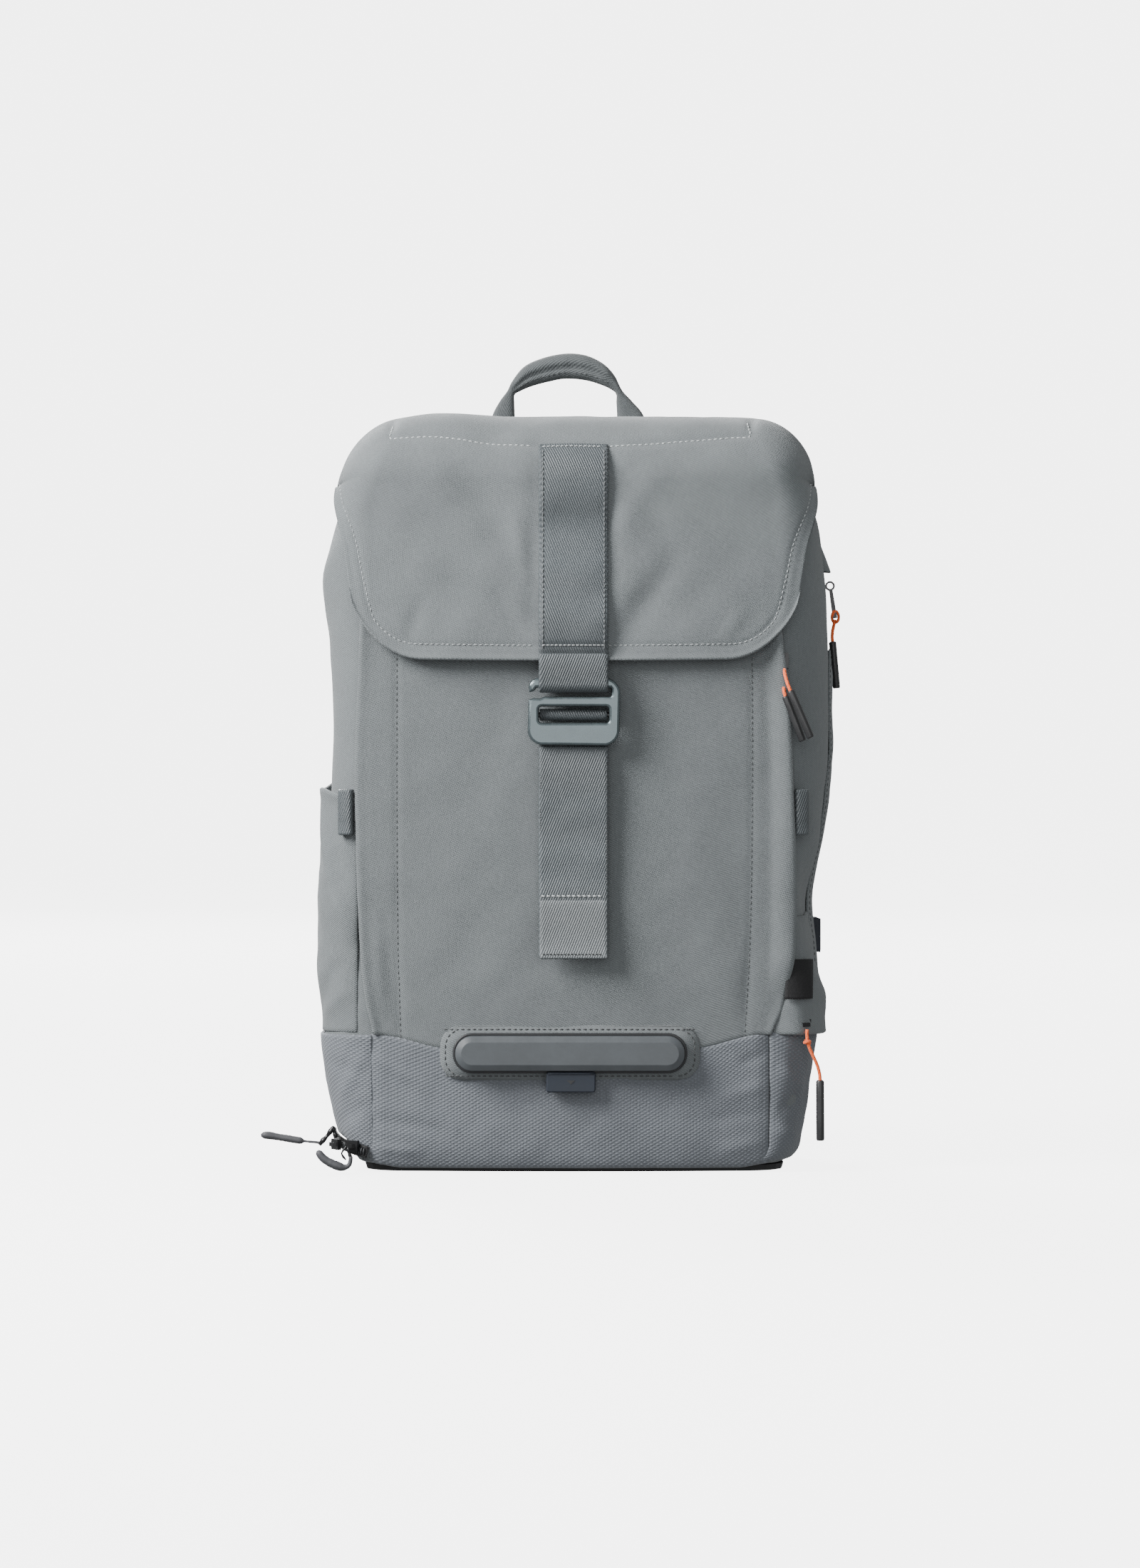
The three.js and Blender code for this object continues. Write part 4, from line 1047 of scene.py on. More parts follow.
def closure():
    def strap_at(a, b, lift):
        w = (a * 2 - 1) * WEB_HALF
        low, high = STRAP_SPAN
        edge = 0.3 * math.sin(b * 260) * (abs(w) > WEB_HALF - 1)
        return on_flap(WEB_X + w + edge, low + (high - low) * b, lift)

    strap = sheet("closure_strap", strap_at, 22, 120, 1.5, "webbing")
    with_flap(strap)
    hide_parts("flap_strap")
    for name, x in (("strap_stitch_left", WEB_X - 17.4), ("strap_stitch_right", WEB_X + 17.4)):
        with_flap(stitches(name, on_flap, [(x, 297), (x, 413)], thread=EDGE_THREAD, pitch=2.9,
                            length=2.1, radius=0.34, lift=0.25))
    top = [(WEB_X - 18, seam_line(0) - 1.6), (WEB_X + 18, seam_line(0) - 1.6)]
    with_flap(stitches("strap_stitch_top", on_flap, top, thread=PALE_THREAD, pitch=2.6, length=2.1,
                       radius=0.36, lift=0.3))
    hem = [(WEB_X - 18, 299.5), (WEB_X + 18, 299.5)]
    with_flap(stitches("strap_stitch_hem", on_flap, hem, thread=PALE_THREAD, pitch=2.4, length=1.9,
                       radius=0.34, lift=0.3))

    low, high = box_mm("flap_loop")
    loop_front, loop_back, loop_foot = low[1], high[1], low[2]

    def loop_line(b):
        """Down in front of the hook's bar, under it and up behind."""
        bend, top = 3.6, 294
        front, back = loop_front + 0.9, loop_back - 0.9
        down = top - (loop_foot + bend + 1)
        lengths = [down, math.pi * bend / 2, max(0.1, back - front - 2 * bend), math.pi * bend / 2,
                   down - 4]
        run = b * sum(lengths)
        if run < lengths[0]:
            return front - 0.8 * math.sin(math.pi * run / lengths[0]) * 0.5, top - run
        run -= lengths[0]
        foot = loop_foot + 1
        if run < lengths[1]:
            angle = run / bend
            return front + bend - bend * math.cos(angle), foot + bend - bend * math.sin(angle)
        run -= lengths[1]
        if run < lengths[2]:
            return front + bend + run, foot
        run -= lengths[2]
        if run < lengths[3]:
            angle = run / bend
            return back - bend + bend * math.sin(angle), foot + bend - bend * math.cos(angle)
        return back, foot + bend + run - lengths[3]

    loop = web_band("closure_loop", loop_line, 1.5, "flap_front", rows=90, ruffle=0.15)
    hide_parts("flap_loop")

    low, high = box_mm("strap_tail")
    tail_front, tail_foot, tail_top = low[1], low[2], high[2]

    tail_head = tail_top + 2

    def tail_y(z):
        """The tail's front by height: it swells under the hook and kicks out at its end."""
        swell = 2.2 * smoothstep(z, 165, 225) * (1 - smoothstep(z, 226, 244))
        swell += 3.6 * (1 - smoothstep(z, 118, 166))
        return tail_front - 0.2 - swell - 0.25 * math.sin(z / 5.5)

    def tail_line(b):
        z = tail_head - (tail_head - tail_foot) * b
        return tail_y(z), z

    tail = web_band("tail_strap", tail_line, 1.6, "strap_tail", rows=100, ruffle=0.35)
    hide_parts("strap_tail")

    def on_tail(x, z, lift):
        return Vector((x, tail_y(z) - 1.6 - lift, z))

    across = [(WEB_X - 18.5, TAIL_HEM + 1.5), (WEB_X + 18.5, TAIL_HEM + 1.5)]
    stitches("tail_stitch_cross", on_tail, across, "strap_tail", PALE_THREAD, 2.9, 2.2, 0.5, 0.3,
             slant=0.25)
    foot = [(WEB_X - 18, tail_foot + 2.2), (WEB_X + 18, tail_foot + 2.2)]
    stitches("tail_stitch_foot", on_tail, foot, "strap_tail", DARK_THREAD, 2.0, 1.5, 0.4, 0.6)
    for name, x in (("tail_selvage_left", WEB_X - 18.7), ("tail_selvage_right", WEB_X + 18.7)):
        stitches(name, on_tail, [(x, tail_foot + 1), (x, tail_top - 4)], "strap_tail", DARK_THREAD, 1.5,
                 1.9, 0.42, -0.5, slant=0.6)

    def hem_line(b):
        """The doubled end of the tail."""
        z = TAIL_HEM - (TAIL_HEM - tail_foot) * b
        return tail_y(z) - 1.1 * smoothstep(b, 0, 0.06), z

    hem_band = web_band("tail_hem", hem_line, 0.9, "strap_tail", rows=40, ruffle=0.2, half=WEB_HALF - 0.2)
    # painted highlight: the tail's doubled end wears the lighter, lit copy of the webbing
    hem_band.data.materials[0] = LIT_WEB

    bar_y, bar_z = -83.1, 260.2

    def wrap_line(b):
        """Over the friction bar, from behind the plate to behind the tail."""
        angle = math.radians(200 - 290 * b)
        radius = 3.4
        return bar_y - radius * math.sin(angle + 0.6), bar_z + radius * math.cos(angle + 0.6)

    wrap = web_band("bar_wrap", wrap_line, 1.3, "hook", rows=40, ruffle=0.1, half=WEB_HALF - 0.3)
    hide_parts("hook_wrap")

    def behind(b):
        return -84.6 + 1.2 * b, 246 - 9 * b

    web_band("hook_drop", behind, 1.3, "hook", rows=10, ruffle=0.1)
    hook()


def hook():
    """The G-shaped hook: its outline and slot as bevelled curves."""
    low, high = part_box("hook_frame")
    y_front, y_back = low[1], high[1]
    data = bpy.data.curves.new("hook_plate", "CURVE")
    data.dimensions = "2D"
    data.fill_mode = "BOTH"
    bevel = 1.5
    outline = []

    def arc(cx, cz, radius, start, end, count=8):
        for k in range(count + 1):
            angle = math.radians(start + (end - start) * k / count)
            outline.append((cx + radius * math.cos(angle), cz + radius * math.sin(angle)))

    def add_loop(amount):
        """Adds the outline as a closed loop of the plate, moved inwards by amount."""
        loop = data.splines.new("POLY")
        loop.points.add(len(outline) - 1)
        for point, (x, z) in zip(loop.points, inset(outline, amount)):
            point.co = (x * MM, z * MM, 0, 1)
        loop.use_cyclic_u = True

    x0, x1, z0, z1 = low[0] / MM, high[0] / MM, low[2] / MM, high[2] / MM
    arc(x0 + 8.5, z0 + 9.5, 8.5, 180, 262)
    arc(x1 - 9.5, z0 + 9.5, 9.0, 278, 360)
    arc(x1 - 9, z1 - 9, 9, 0, 90)
    arc(x0 + 6.5, z1 - 6, 6, 95, 165)
    outline += [(x0 + 0.9, z1 - 8.2), (x0 + 3.9, z1 - 7.4), (x0 + 5, z1 - 5.6)]
    outline += [(x1 - 5.6, z1 - 5.8), (x1 - 5.2, z1 - 6.4), (x1 - 5.2, z1 - 10), (x1 - 5.8, z1 - 10.6)]
    outline += [(x0 + 9.5, z1 - 10.6), (x0 + 7, z1 - 11.6), (x0 + 3.4, z1 - 11.4), (x0 + 0.6, z1 - 12.4)]
    add_loop(bevel)
    outline.clear()
    slot_low, slot_high = 257.2, 263.2
    arc(x0 + 8, slot_low, 2.2, 180, 270, 4)
    arc(x1 - 8, slot_low, 2.2, 270, 360, 4)
    arc(x1 - 8, slot_high, 2.2, 0, 90, 4)
    arc(x0 + 8, slot_high, 2.2, 90, 180, 4)
    add_loop(-0.9)
    data.extrude = (y_back - y_front) / 2 - bevel * MM
    data.bevel_depth = bevel * MM
    data.bevel_resolution = 1
    made = bpy.data.objects.new("hook_curve", data)
    bpy.context.scene.collection.objects.link(made)
    bpy.context.view_layer.update()
    solid = made.evaluated_get(bpy.context.evaluated_depsgraph_get())
    mesh = bpy.data.meshes.new_from_object(solid)
    bpy.data.objects.remove(made)
    points = [(v.co.x / MM, (y_front + y_back) / 2 / MM - v.co.z / MM, v.co.y / MM) for v in mesh.vertices]
    faces = [tuple(p.vertices) for p in mesh.polygons]
    plate = piece("hook_plate", points, faces, "hook_metal", "hook", smooth=False)
    soften(plate, 0.35)
    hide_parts("hook_frame")


def inset(outline, amount):
    """A closed outline moved inwards by amount, corner by corner."""
    moved = []
    ring = [Vector(p) for p in outline]
    for before, here, after in zip(ring[-1:] + ring, ring, ring[1:] + ring[:1]):
        one = (here - before).normalized()
        two = (after - here).normalized()
        normal = Vector((-(one.y + two.y), one.x + two.x)).normalized()
        spread = max(0.5, normal.dot(Vector((-one.y, one.x))))
        moved.append(tuple(here + normal * amount / spread))
    return moved


def soften(obj, width):
    """Rounds an object's hard edges by width millimetres."""
    bevel = obj.modifiers.new("edges", "BEVEL")
    bevel.width = width * MM
    bevel.segments = 2
    bevel.limit_method = "ANGLE"
    bevel.angle_limit = math.radians(25)
    bevel.harden_normals = True
    for polygon in obj.data.polygons:
        polygon.use_smooth = True


# ---- light mount --------------------------------------------------------------


def lozenge(name, x0, x1, z0, z1, radius, layers, finish, body, count=12):
    """A rounded bar lofted through layers of (inset, y), with its last layer closed as the face."""
    points = []
    for shrink, y in layers:
        points += [(x, y, z) for x, z in rounded_ring(x0, x1, z0, z1, radius, shrink, count)]
    return piece(name, points, loft(len(layers), 4 * (count + 1)), finish, body)


def light_mount():
    low, high = box_mm("mount_cover")
    front, back = low[1], high[1]
    layers = [(0.5, back), (0.0, back - 0.5), (0.0, front + 2.2), (0.25, front + 1.7), (3.1, front + 0.2),
              (3.5, front), (4.2, front)]
    cover = lozenge("mount_bar", low[0], high[0], low[2], high[2], 9.8, layers, "grey_rubber",
                    "mount_cover")
    soften(cover, 0.25)
    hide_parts("mount_cover")
    # painted shade: a black ring round the cover's back edge darkens the gap between the cover and the dock
    gap = [(0.0, back + 0.5), (0.0, back - 1.2), (0.8, back - 1.6), (1.6, back - 1.0)]
    lozenge("mount_gap_shade", low[0] - 1.5, high[0] + 1.5, low[2] - 1.5, high[2] + 1.5, 11.2, gap,
            (HARD["black_plastic"], "base_fabric"), "bag")

    low, high = box_mm("release_tab")
    front = low[1]
    layers = [(0.3, high[1]), (0.0, high[1] - 0.4), (0.0, front + 1.4), (0.5, front + 0.6),
              (0.9, front + 0.6)]
    tab = lozenge("mount_tab", low[0], high[0], low[2], high[2], 1.7, layers, "navy_rubber",
                  "release_tab", 5)
    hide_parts("release_tab")
    middle = (low[0] + high[0]) / 2
    arrow = [(middle - 2.2, 53.2), (middle + 2.2, 53.2), (middle, 51.0)]
    face = front + 0.35
    points = [(x, face, z) for x, z in arrow] + [(x, face + 0.5, z) for x, z in arrow]
    sides = [(0, 2, 1), (3, 4, 5), (0, 1, 4, 3), (1, 2, 5, 4), (2, 0, 3, 5)]
    piece("mount_arrow", points, sides, (HARD["black_plastic"], "navy_rubber"), "release_tab", smooth=False)
    ridge = [(low[0] + 1, front + 0.7, high[2] - 1.3), (middle, front + 0.55, high[2] - 1.2),
             (high[0] - 1, front + 0.7, high[2] - 1.3)]
    tube("mount_tab_ridge", curve_through(ridge, 3), 0.55, "navy_rubber", "release_tab", 8)

    low, high = box_mm("mount_dock")
    x0, x1, z0, z1 = low[0], high[0], low[2], high[2]
    radius, face_y = 12.0, -81.2

    def dock_depth(x, z):
        """How far inside the dock's rounded outline a place is."""
        u, v = min(x - x0, x1 - x), min(z - z0, z1 - z)
        if u < radius and v < radius:
            return radius - math.hypot(radius - u, radius - v)
        return min(u, v)

    def dock_face(x, z, lift=0.0):
        inside = dock_depth(x, z)
        edge = 3.4 * hump(max(0.0, inside), 3.6) - 0.5 * hump(inside - 2.2, 0.9)
        return Vector((x, face_y - lift + edge + ripple(x, 2, z, 16, 0.3), z))

    def dock_at(a, b, lift):
        return dock_face(*rounded(a, b, x0, x1, z0, z1, radius), lift)

    dock = sheet("dock_cloth", dock_at, 100, 30, 2.0, (CLOTH["front_fabric"], "base_fabric"), "bag")
    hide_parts("mount_dock")
    seam = rounded_ring(x0, x1, z0, z1, radius, 2.2, 6)
    stitches("dock_stitch", dock_face, seam + seam[:1], "bag", DARK_THREAD, slot="base_fabric", radius=0.42)


# ---- handle, back and harness -------------------------------------------------


# The carry handle's inner and outer edge at each station, in X and Z.
HANDLE_STATIONS = [((-33, 431), (-49, 431)), ((-33.2, 442.5), (-46.5, 442.5)), ((-33.4, 450), (-42, 451)),
                   ((-33.3, 454.8), (-37.6, 457)), ((-30, 457), (-34.6, 463)),
                   ((-24, 459.6), (-27.5, 471.5)), ((-15, 462.2), (-16.5, 476.6)),
                   ((-3, 464.5), (-3, 479.3)), ((9, 463.6), (9, 478.4)), ((18.2, 461), (19.5, 473.6)),
                   ((24, 458.4), (26.6, 466.4)), ((27.6, 455.4), (31.2, 457.4)), ((27.8, 450), (37, 451)),
                   ((28.2, 442.5), (44, 442.5)), ((28.5, 431), (47, 431))]


def handle():
    low, high = box_mm("handle_loop")
    middle_y = (low[1] + high[1]) / 2
    steps, sides = 8, 44
    inner = [Vector((*a, 0)) for a, _ in HANDLE_STATIONS]
    outer = [Vector((*b, 0)) for _, b in HANDLE_STATIONS]

    def section(k, angle):
        """A point round the handle's section: its top roll stands over a folded lower edge."""
        whole = min(int(k), len(inner) - 2)
        a, b = spline(inner, whole, k - whole), spline(outer, whole, k - whole)
        middle, reach = (a + b) / 2, (b - a) / 2
        grip = smoothstep(min(k, len(inner) - 1 - k), 3.0, 5.0)
        c, d = math.cos(angle), math.sin(angle)
        across = squared(c, 0.55) * (5.4 + 3.2 * grip)
        fold = grip * (2.4 * hump(d + 0.12, 0.13) + 1.3 * smoothstep(-d, 0.1, 0.3))
        across -= math.copysign(min(fold, 3.4), c) * (abs(c) > 0.2)
        rise = squared(d, 0.8)
        q = Vector((middle.x + reach.x * rise, middle_y + across, middle.y + reach.y * rise))
        return q + Vector((0, ripple(q.x, q.y, q.z, 8, 0.5), 0))

    rows = (len(HANDLE_STATIONS) - 1) * steps
    points, uvs = [], []
    for r in range(rows + 1):
        for j in range(sides):
            angle = 2 * math.pi * j / sides
            points.append(section(r / steps, angle))
            uvs.append((r * 1.3 * MM, angle * 6 * MM))
    grip = piece("handle_cloth_painted_shade", points, loft(rows + 1, sides, flip=True), (HANDLE_CLOTH_PAINTED_SHADE, "flap_fabric"),
                 "handle", uvs)
    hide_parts("handle_loop")
    for name, base in (("handle_stitch_front", math.pi), ("handle_stitch_back", 0.0)):
        def on_handle(k, _, lift, base=base):
            sign = -1 if base else 1
            p = section(k, base + sign * -0.55 if base else -0.55)
            return p + Vector((0, sign * lift, 0))

        stitches(name, on_handle, [(4.2, 0), (len(HANDLE_STATIONS) - 5.2, 0)], "handle", DARK_THREAD,
                 slot="flap_fabric", radius=0.25)


PRESSURE = 4.0
SWELL_STEPS = 20


def inflate(obj, cap, voxel):
    """Swells a closed pad with a cloth simulation, moving no point by more than cap millimetres."""
    bpy.context.view_layer.objects.active = obj
    remesh = obj.modifiers.new("remesh", "REMESH")
    remesh.mode = "VOXEL"
    remesh.voxel_size = voxel * MM
    bpy.ops.object.modifier_apply(modifier=remesh.name)
    rest = np.array([v.co for v in obj.data.vertices])
    cloth = obj.modifiers.new("cloth", "CLOTH")
    cloth.settings.use_pressure = True
    cloth.settings.uniform_pressure_force = PRESSURE
    cloth.settings.effector_weights.gravity = 0
    for step in range(1, SWELL_STEPS + 1):
        bpy.context.scene.frame_set(step)
    bpy.ops.object.modifier_apply(modifier=cloth.name)
    moved = np.array([v.co for v in obj.data.vertices]) - rest
    reach = np.linalg.norm(moved, axis=1, keepdims=True)
    share = np.minimum(1.0, cap * MM / np.maximum(reach, 1e-9))
    obj.data.vertices.foreach_set("co", (rest + moved * share).astype(np.float32).ravel())
    bpy.context.scene.frame_set(1)
    obj.data.polygons.foreach_set("use_smooth", [True] * len(obj.data.polygons))
    fine = obj.modifiers.new("fine", "SUBSURF")
    fine.levels = fine.render_levels = 1
    bpy.ops.object.modifier_apply(modifier=fine.name)


def pad_channels(obj, heights, face_y, depth=2.2, width=5.0):
    """Presses sewn channels across the front face of a pad."""
    for v in obj.data.vertices:
        y, z = v.co.y / MM, v.co.z / MM
        near = sum(hump(z - h, width) for h in heights)
        v.co.y -= near * depth * smoothstep(y, face_y - 6, face_y) * MM


def back_panel():
    low, high = box_mm("back_panel")

    def panel_at(a, b, lift):
        x, z = rounded(a, b, low[0], high[0], low[2], high[2], 34)
        crown = 1.0 * smoothstep(min(a, 1 - a), 0, 0.05) + ripple(x, 3, z, 30, 0.7)
        return Vector((x, high[1] - 1.6 + lift + crown, z))

    panel = sheet("back_cloth", panel_at, 60, 80, 4.0, "shell_fabric", "bag", sign=-1)
    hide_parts("back_panel")
    edge = []
    for k in range(161):
        angle = 2 * math.pi * k / 160
        c, d = math.cos(angle), math.sin(angle)
        half_x, half_z = (high[0] - low[0]) / 2, (high[2] - low[2]) / 2
        x = squared(c, 0.28) * half_x + 3
        z = squared(d, 0.28) * half_z + (low[2] + high[2]) / 2
        edge.append((x, 74.2, z))
    tube("back_piping", edge, 2.0, (BINDING, "shell_fabric"), "bag", 8)

    for name, node in (("pad_left", "back_pad_left"), ("pad_right", "back_pad_right")):
        low, high = box_mm(node)
        inner_x0, inner_x1, inner_z0, inner_z1 = low[0] + 3, high[0] - 3, low[2] + 3, high[2] - 3

        def pad_at(a, b, lift, box=(inner_x0, inner_x1, inner_z0, inner_z1), top=high[1]):
            x, z = rounded(a, b, *box, 22)
            crown = 2.4 * smoothstep(min(a, 1 - a), 0, 0.2) * smoothstep(min(b, 1 - b), 0, 0.06)
            return Vector((x, top - 3.2 + crown + lift, z))

        pad = sheet(name, pad_at, 26, 90, 6.4, "spacer_mesh", "bag", sign=-1)
        inflate(pad, 2.5, 4.0)
        pad_channels(pad, [126, 190, 254, 318], high[1])
        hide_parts(node)

    low, high = box_mm("divider_pad")

    def divider_at(a, b, lift):
        x, z = rounded(a, b, low[0], high[0], low[2], high[2], 14)
        crown = 0.8 * smoothstep(min(a, 1 - a), 0, 0.08)
        return Vector((x, low[1] + 0.9 - lift - crown, z))

    divider = sheet("divider_cloth", divider_at, 30, 40, 3.6, (LINING, "spacer_mesh"), "bag")
    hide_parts("divider_pad")


STRAP_ROUTE = [(42, 80, 417), (43, 87, 411), (44.5, 95, 403), (47, 103, 392), (51, 113, 370),
               (55, 119, 345), (59, 120, 318), (63, 120, 285), (68, 120, 250), (74, 117, 222),
               (80, 110, 196), (84, 104, 176), (85.5, 102.6, 168.5)]


def band_along(name, path, half_wide, half_thick, finish, body, power, relief=0.0, groove=False):
    """A soft band along a path with rounded sides. half_wide is a number or varies along it."""
    points, uvs = [], []
    sides = 28
    run = 0.0
    for k, p in enumerate(path):
        tangent = tangent_at(path, k)
        across = Vector((1, 0, 0)) - tangent * tangent.x
        across.normalize()
        out = across.cross(tangent).normalized()
        if out.y < 0:
            out = -out
        share = k / (len(path) - 1)
        wide = half_wide(share) if callable(half_wide) else half_wide
        run += (p - path[max(k - 1, 0)]).length * MM
        for j in range(sides):
            angle = 2 * math.pi * j / sides
            c, d = math.cos(angle), math.sin(angle)
            w = squared(c, power) * wide
            n = squared(d, power) * half_thick
            if groove:
                n *= 1 - 0.35 * hump(abs(w) - wide + 5, 1.6)
            q = p + across * w + out * n
            points.append(q + out * ripple(q.x, q.y, q.z, 22, relief))
            uvs.append((w * MM, run))
    return piece(name, points, loft(len(path), sides, flip=True), finish, body, uvs)


def harness():
    for name, side in (("left", -1), ("right", 1)):
        def placed(x, y, z, side=side):
            return Vector((side * x + WEB_X, y, z))

        route = curve_through([placed(*p) for p in STRAP_ROUTE], 5)

        def width(share):
            head, foot = smoothstep(share, 0, 0.2), smoothstep(share, 0.82, 1.0)
            return 27.5 * (0.8 + 0.2 * head) * (1 - 0.42 * foot)

        strap = band_along(f"shoulder_pad_{name}", route, width, 5.2,
                           (CLOTH["shell_fabric"], "spacer_mesh"), "bag", 0.5, 0.4, groove=True)
        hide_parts(f"shoulder_strap_{name}")
        inner = [p + Vector((0, -3.2, 0)) for p in route[3:-4]]
        band_along(f"shoulder_mesh_{name}", inner, lambda share: 22.0, 2.6, "spacer_mesh",
                   "bag", 0.6, 0.3)
        outer = [p + Vector((0, 5.4, 0.5)) for p in route[3:-1]]
        web = band_along(f"shoulder_web_{name}", outer, 12.5, 0.5, "webbing", "bag", 0.3)

        low_route = [(86, 101.2, 165), (86.6, 99.6, 156), (88, 98.4, 146), (96, 93.8, 118), (106, 88.4, 90),
                     (114, 83.8, 64), (118, 81.4, 50)]
        lower = band_along(f"lower_strap_{name}", curve_through([placed(*p) for p in low_route], 4), 12.3,
                           0.9, "webbing", None, 0.3)
        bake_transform(lower)
        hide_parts(f"lower_web_{name}")

        wing = [placed(116, 80, 62), placed(119, 78.5, 50), placed(121, 77, 40)]
        band_along(f"strap_wing_{name}", curve_through(wing, 3), 15.0, 3.0, "shell_fabric",
                   "bag", 0.45, 0.4)

    yoke_route = [(-74, 79, 409), (-60, 80.5, 413), (0, 81.5, 418), (64, 80.5, 413), (78, 79, 409)]
    yoke = curve_through(yoke_route, 4)
    points, uvs = [], []
    sides = 20
    for k, p in enumerate(yoke):
        share = k / (len(yoke) - 1)
        tall = 12.5 * smoothstep(min(share, 1 - share), -0.04, 0.1)
        for j in range(sides):
            angle = 2 * math.pi * j / sides
            c, d = math.cos(angle), math.sin(angle)
            z = p.z + squared(c, 0.6) * tall
            y = p.y + squared(d, 0.6) * 5.8
            points.append(Vector((p.x, y + ripple(p.x, y, z, 20, 0.8), z)))
            uvs.append((p.x * MM, (p.z + j * 3) * MM))
    piece("back_yoke", points, loft(len(yoke), sides), "shell_fabric", "bag", uvs)

    for node, body in (("sternum_web_left", "sternum"), ("sternum_web_right", "sternum_plug")):
        low, high = box_mm(node)
        middle_y, middle_z = (low[1] + high[1]) / 2, (low[2] + high[2]) / 2

        def strip(a, b, lift, low=low, high=high, y=middle_y, z=middle_z):
            x = low[0] + (high[0] - low[0]) * a
            sag = 1.4 * math.sin(math.pi * a)
            return Vector((x, y + 0.7 + lift + ripple(x, 0, z, 18, 0.4), z - 9.8 + 19.6 * b - sag))

        web = sheet(node.replace("web", "strip"), strip, 40, 10, 1.4, "webbing", body, sign=-1)
        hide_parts(node)


# ---- loops, label and garage --------------------------------------------------


def side_trims():
    for node, side in (("side_loop_left", -1), ("side_loop_right", 1)):
        low, high = box_mm(node)
        middle = ((low[0] + high[0]) / 2, (low[1] + high[1]) / 2)
        angle = math.radians(29 if side < 0 else 23)
        out = Vector((side * math.sin(angle), -math.cos(angle), 0))
        along = Vector((math.cos(angle), side * math.sin(angle), 0))

        def ring_at(a, b, lift, middle=middle, out=out, along=along, low=low, high=high):
            turn = 2 * math.pi * a
            c, d = math.cos(turn), math.sin(turn)
            w = squared(c, 0.6) * (4.6 + lift)
            n = squared(d, 0.7) * (2.9 + lift)
            z = low[2] + (high[2] - low[2]) * b
            return Vector((*middle, z)) + along * w + out * (n + ripple(w, n, z, 9, 0.25))

        loop = sheet(f"{node}_web", ring_at, 28, 20, 1.3, "webbing", "bag", wrap=True)
        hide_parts(node)

    low, high = box_mm("side_tab_right")

    def tab_at(a, b, lift):
        x = 118 + 31.2 * a
        return Vector((x, high[1] + 0.6 + lift, low[2] - 0.5 + (high[2] - low[2] + 1) * b
                       + 0.5 * math.sin(x)))

    tab = sheet("side_tab_web", tab_at, 16, 12, 2.2, (HARD["navy_rubber"], "black_plastic"), "bag", sign=-1)
    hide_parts("side_tab_right")

    low, high = box_mm("label_tag")

    def label_at(a, b, lift):
        z = low[2] + (high[2] - low[2]) * b
        x = 120.5 + 10.5 * a + 1.2 * b
        proud = COVER + 7.4 * (1 - (z - 79) / 66) ** 1.3 * 0.8
        return front_skin(x, z, proud + lift + 3.2 * a + 0.6 * math.sin(math.pi * a))

    label = sheet("label_cloth", label_at, 10, 16, 0.7, "label_black", "bag")
    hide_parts("label_tag")

    low, high = box_mm("zip_garage")

    def garage_at(a, b, lift):
        taper = 1 - 0.45 * b
        y = (low[1] + high[1]) / 2 + (a - 0.5) * (high[1] - low[1]) * taper * 1.2
        z = low[2] + (high[2] - low[2]) * b
        fold = math.sin(math.pi * a) ** 0.7
        x = skin(2.6, z).x + 1.8 + (5.6 - 4.6 * b) * fold
        return Vector((x + lift, y, z + 1.0 * (1 - fold)))

    garage = sheet("garage_cloth", garage_at, 16, 14, 1.3, "shell_fabric", "bag")
    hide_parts("zip_garage")


# ---- zips ---------------------------------------------------------------------


def zip_chain(name, at, path, node, half):
    """A zip's tape with its row of teeth along the surface at(s, z, lift)."""
    ground = curve_through([(*p, 0) for p in path], 3.0)
    line = [Vector(at(p.x, p.y, 0.0)) for p in ground]
    out = [(Vector(at(p.x, p.y, 1.0)) - q).normalized() for p, q in zip(ground, line)]

    def tape(a, b, lift):
        k = round(b * (len(line) - 1))
        side = tangent_at(line, k).cross(out[k]).normalized()
        return line[k] + side * ((a * 2 - 1) * half) + out[k] * (lift + 0.5)

    strip = sheet(f"{name}_tape", tape, 8, len(line) - 1, 0.7, (CLOTH["label_black"], "black_plastic"),
                  "bag")
    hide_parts(node)
    stitches(f"{name}_teeth", at, path, "bag", HARD["black_plastic"], 1.6, 4.2, 0.62, 1.1, "black_plastic",
             slant=40.0)


FRONT_CHAIN = [(118.6, 134), (119.0, 200), (118.2, 270), (116.8, 338)]
# The chains round the sides: their route in t and z, how proud they stand and half their width.
SIDE_CHAINS = (("rear", [(3.28, 102), (3.28, 220), (3.28, 346)], 0.8, 4.6),
               ("lower", [(1.22, 84), (1.6, 84), (2.05, 84)], 1.0, 4.0),
               ("base", [(-2.04, 20), (-1.8, 17.2), (-1.5, 14.2), (-1.12, 11.6)], 4.2, 3.2))


def zips():
    def front_at_x(x, z, lift):
        return front_skin(x, z, lift + 0.8)

    zip_chain("zip_front", front_at_x, FRONT_CHAIN, "zip_track_front", 3.4)
    for name, route, proud, half in SIDE_CHAINS:
        def side_at(t, z, lift, proud=proud):
            return skin(t / T_MM, z, lift + proud)

        path = [(t * T_MM, z) for t, z in route]
        zip_chain(f"zip_{name}", side_at, path, f"zip_track_{name}", half)


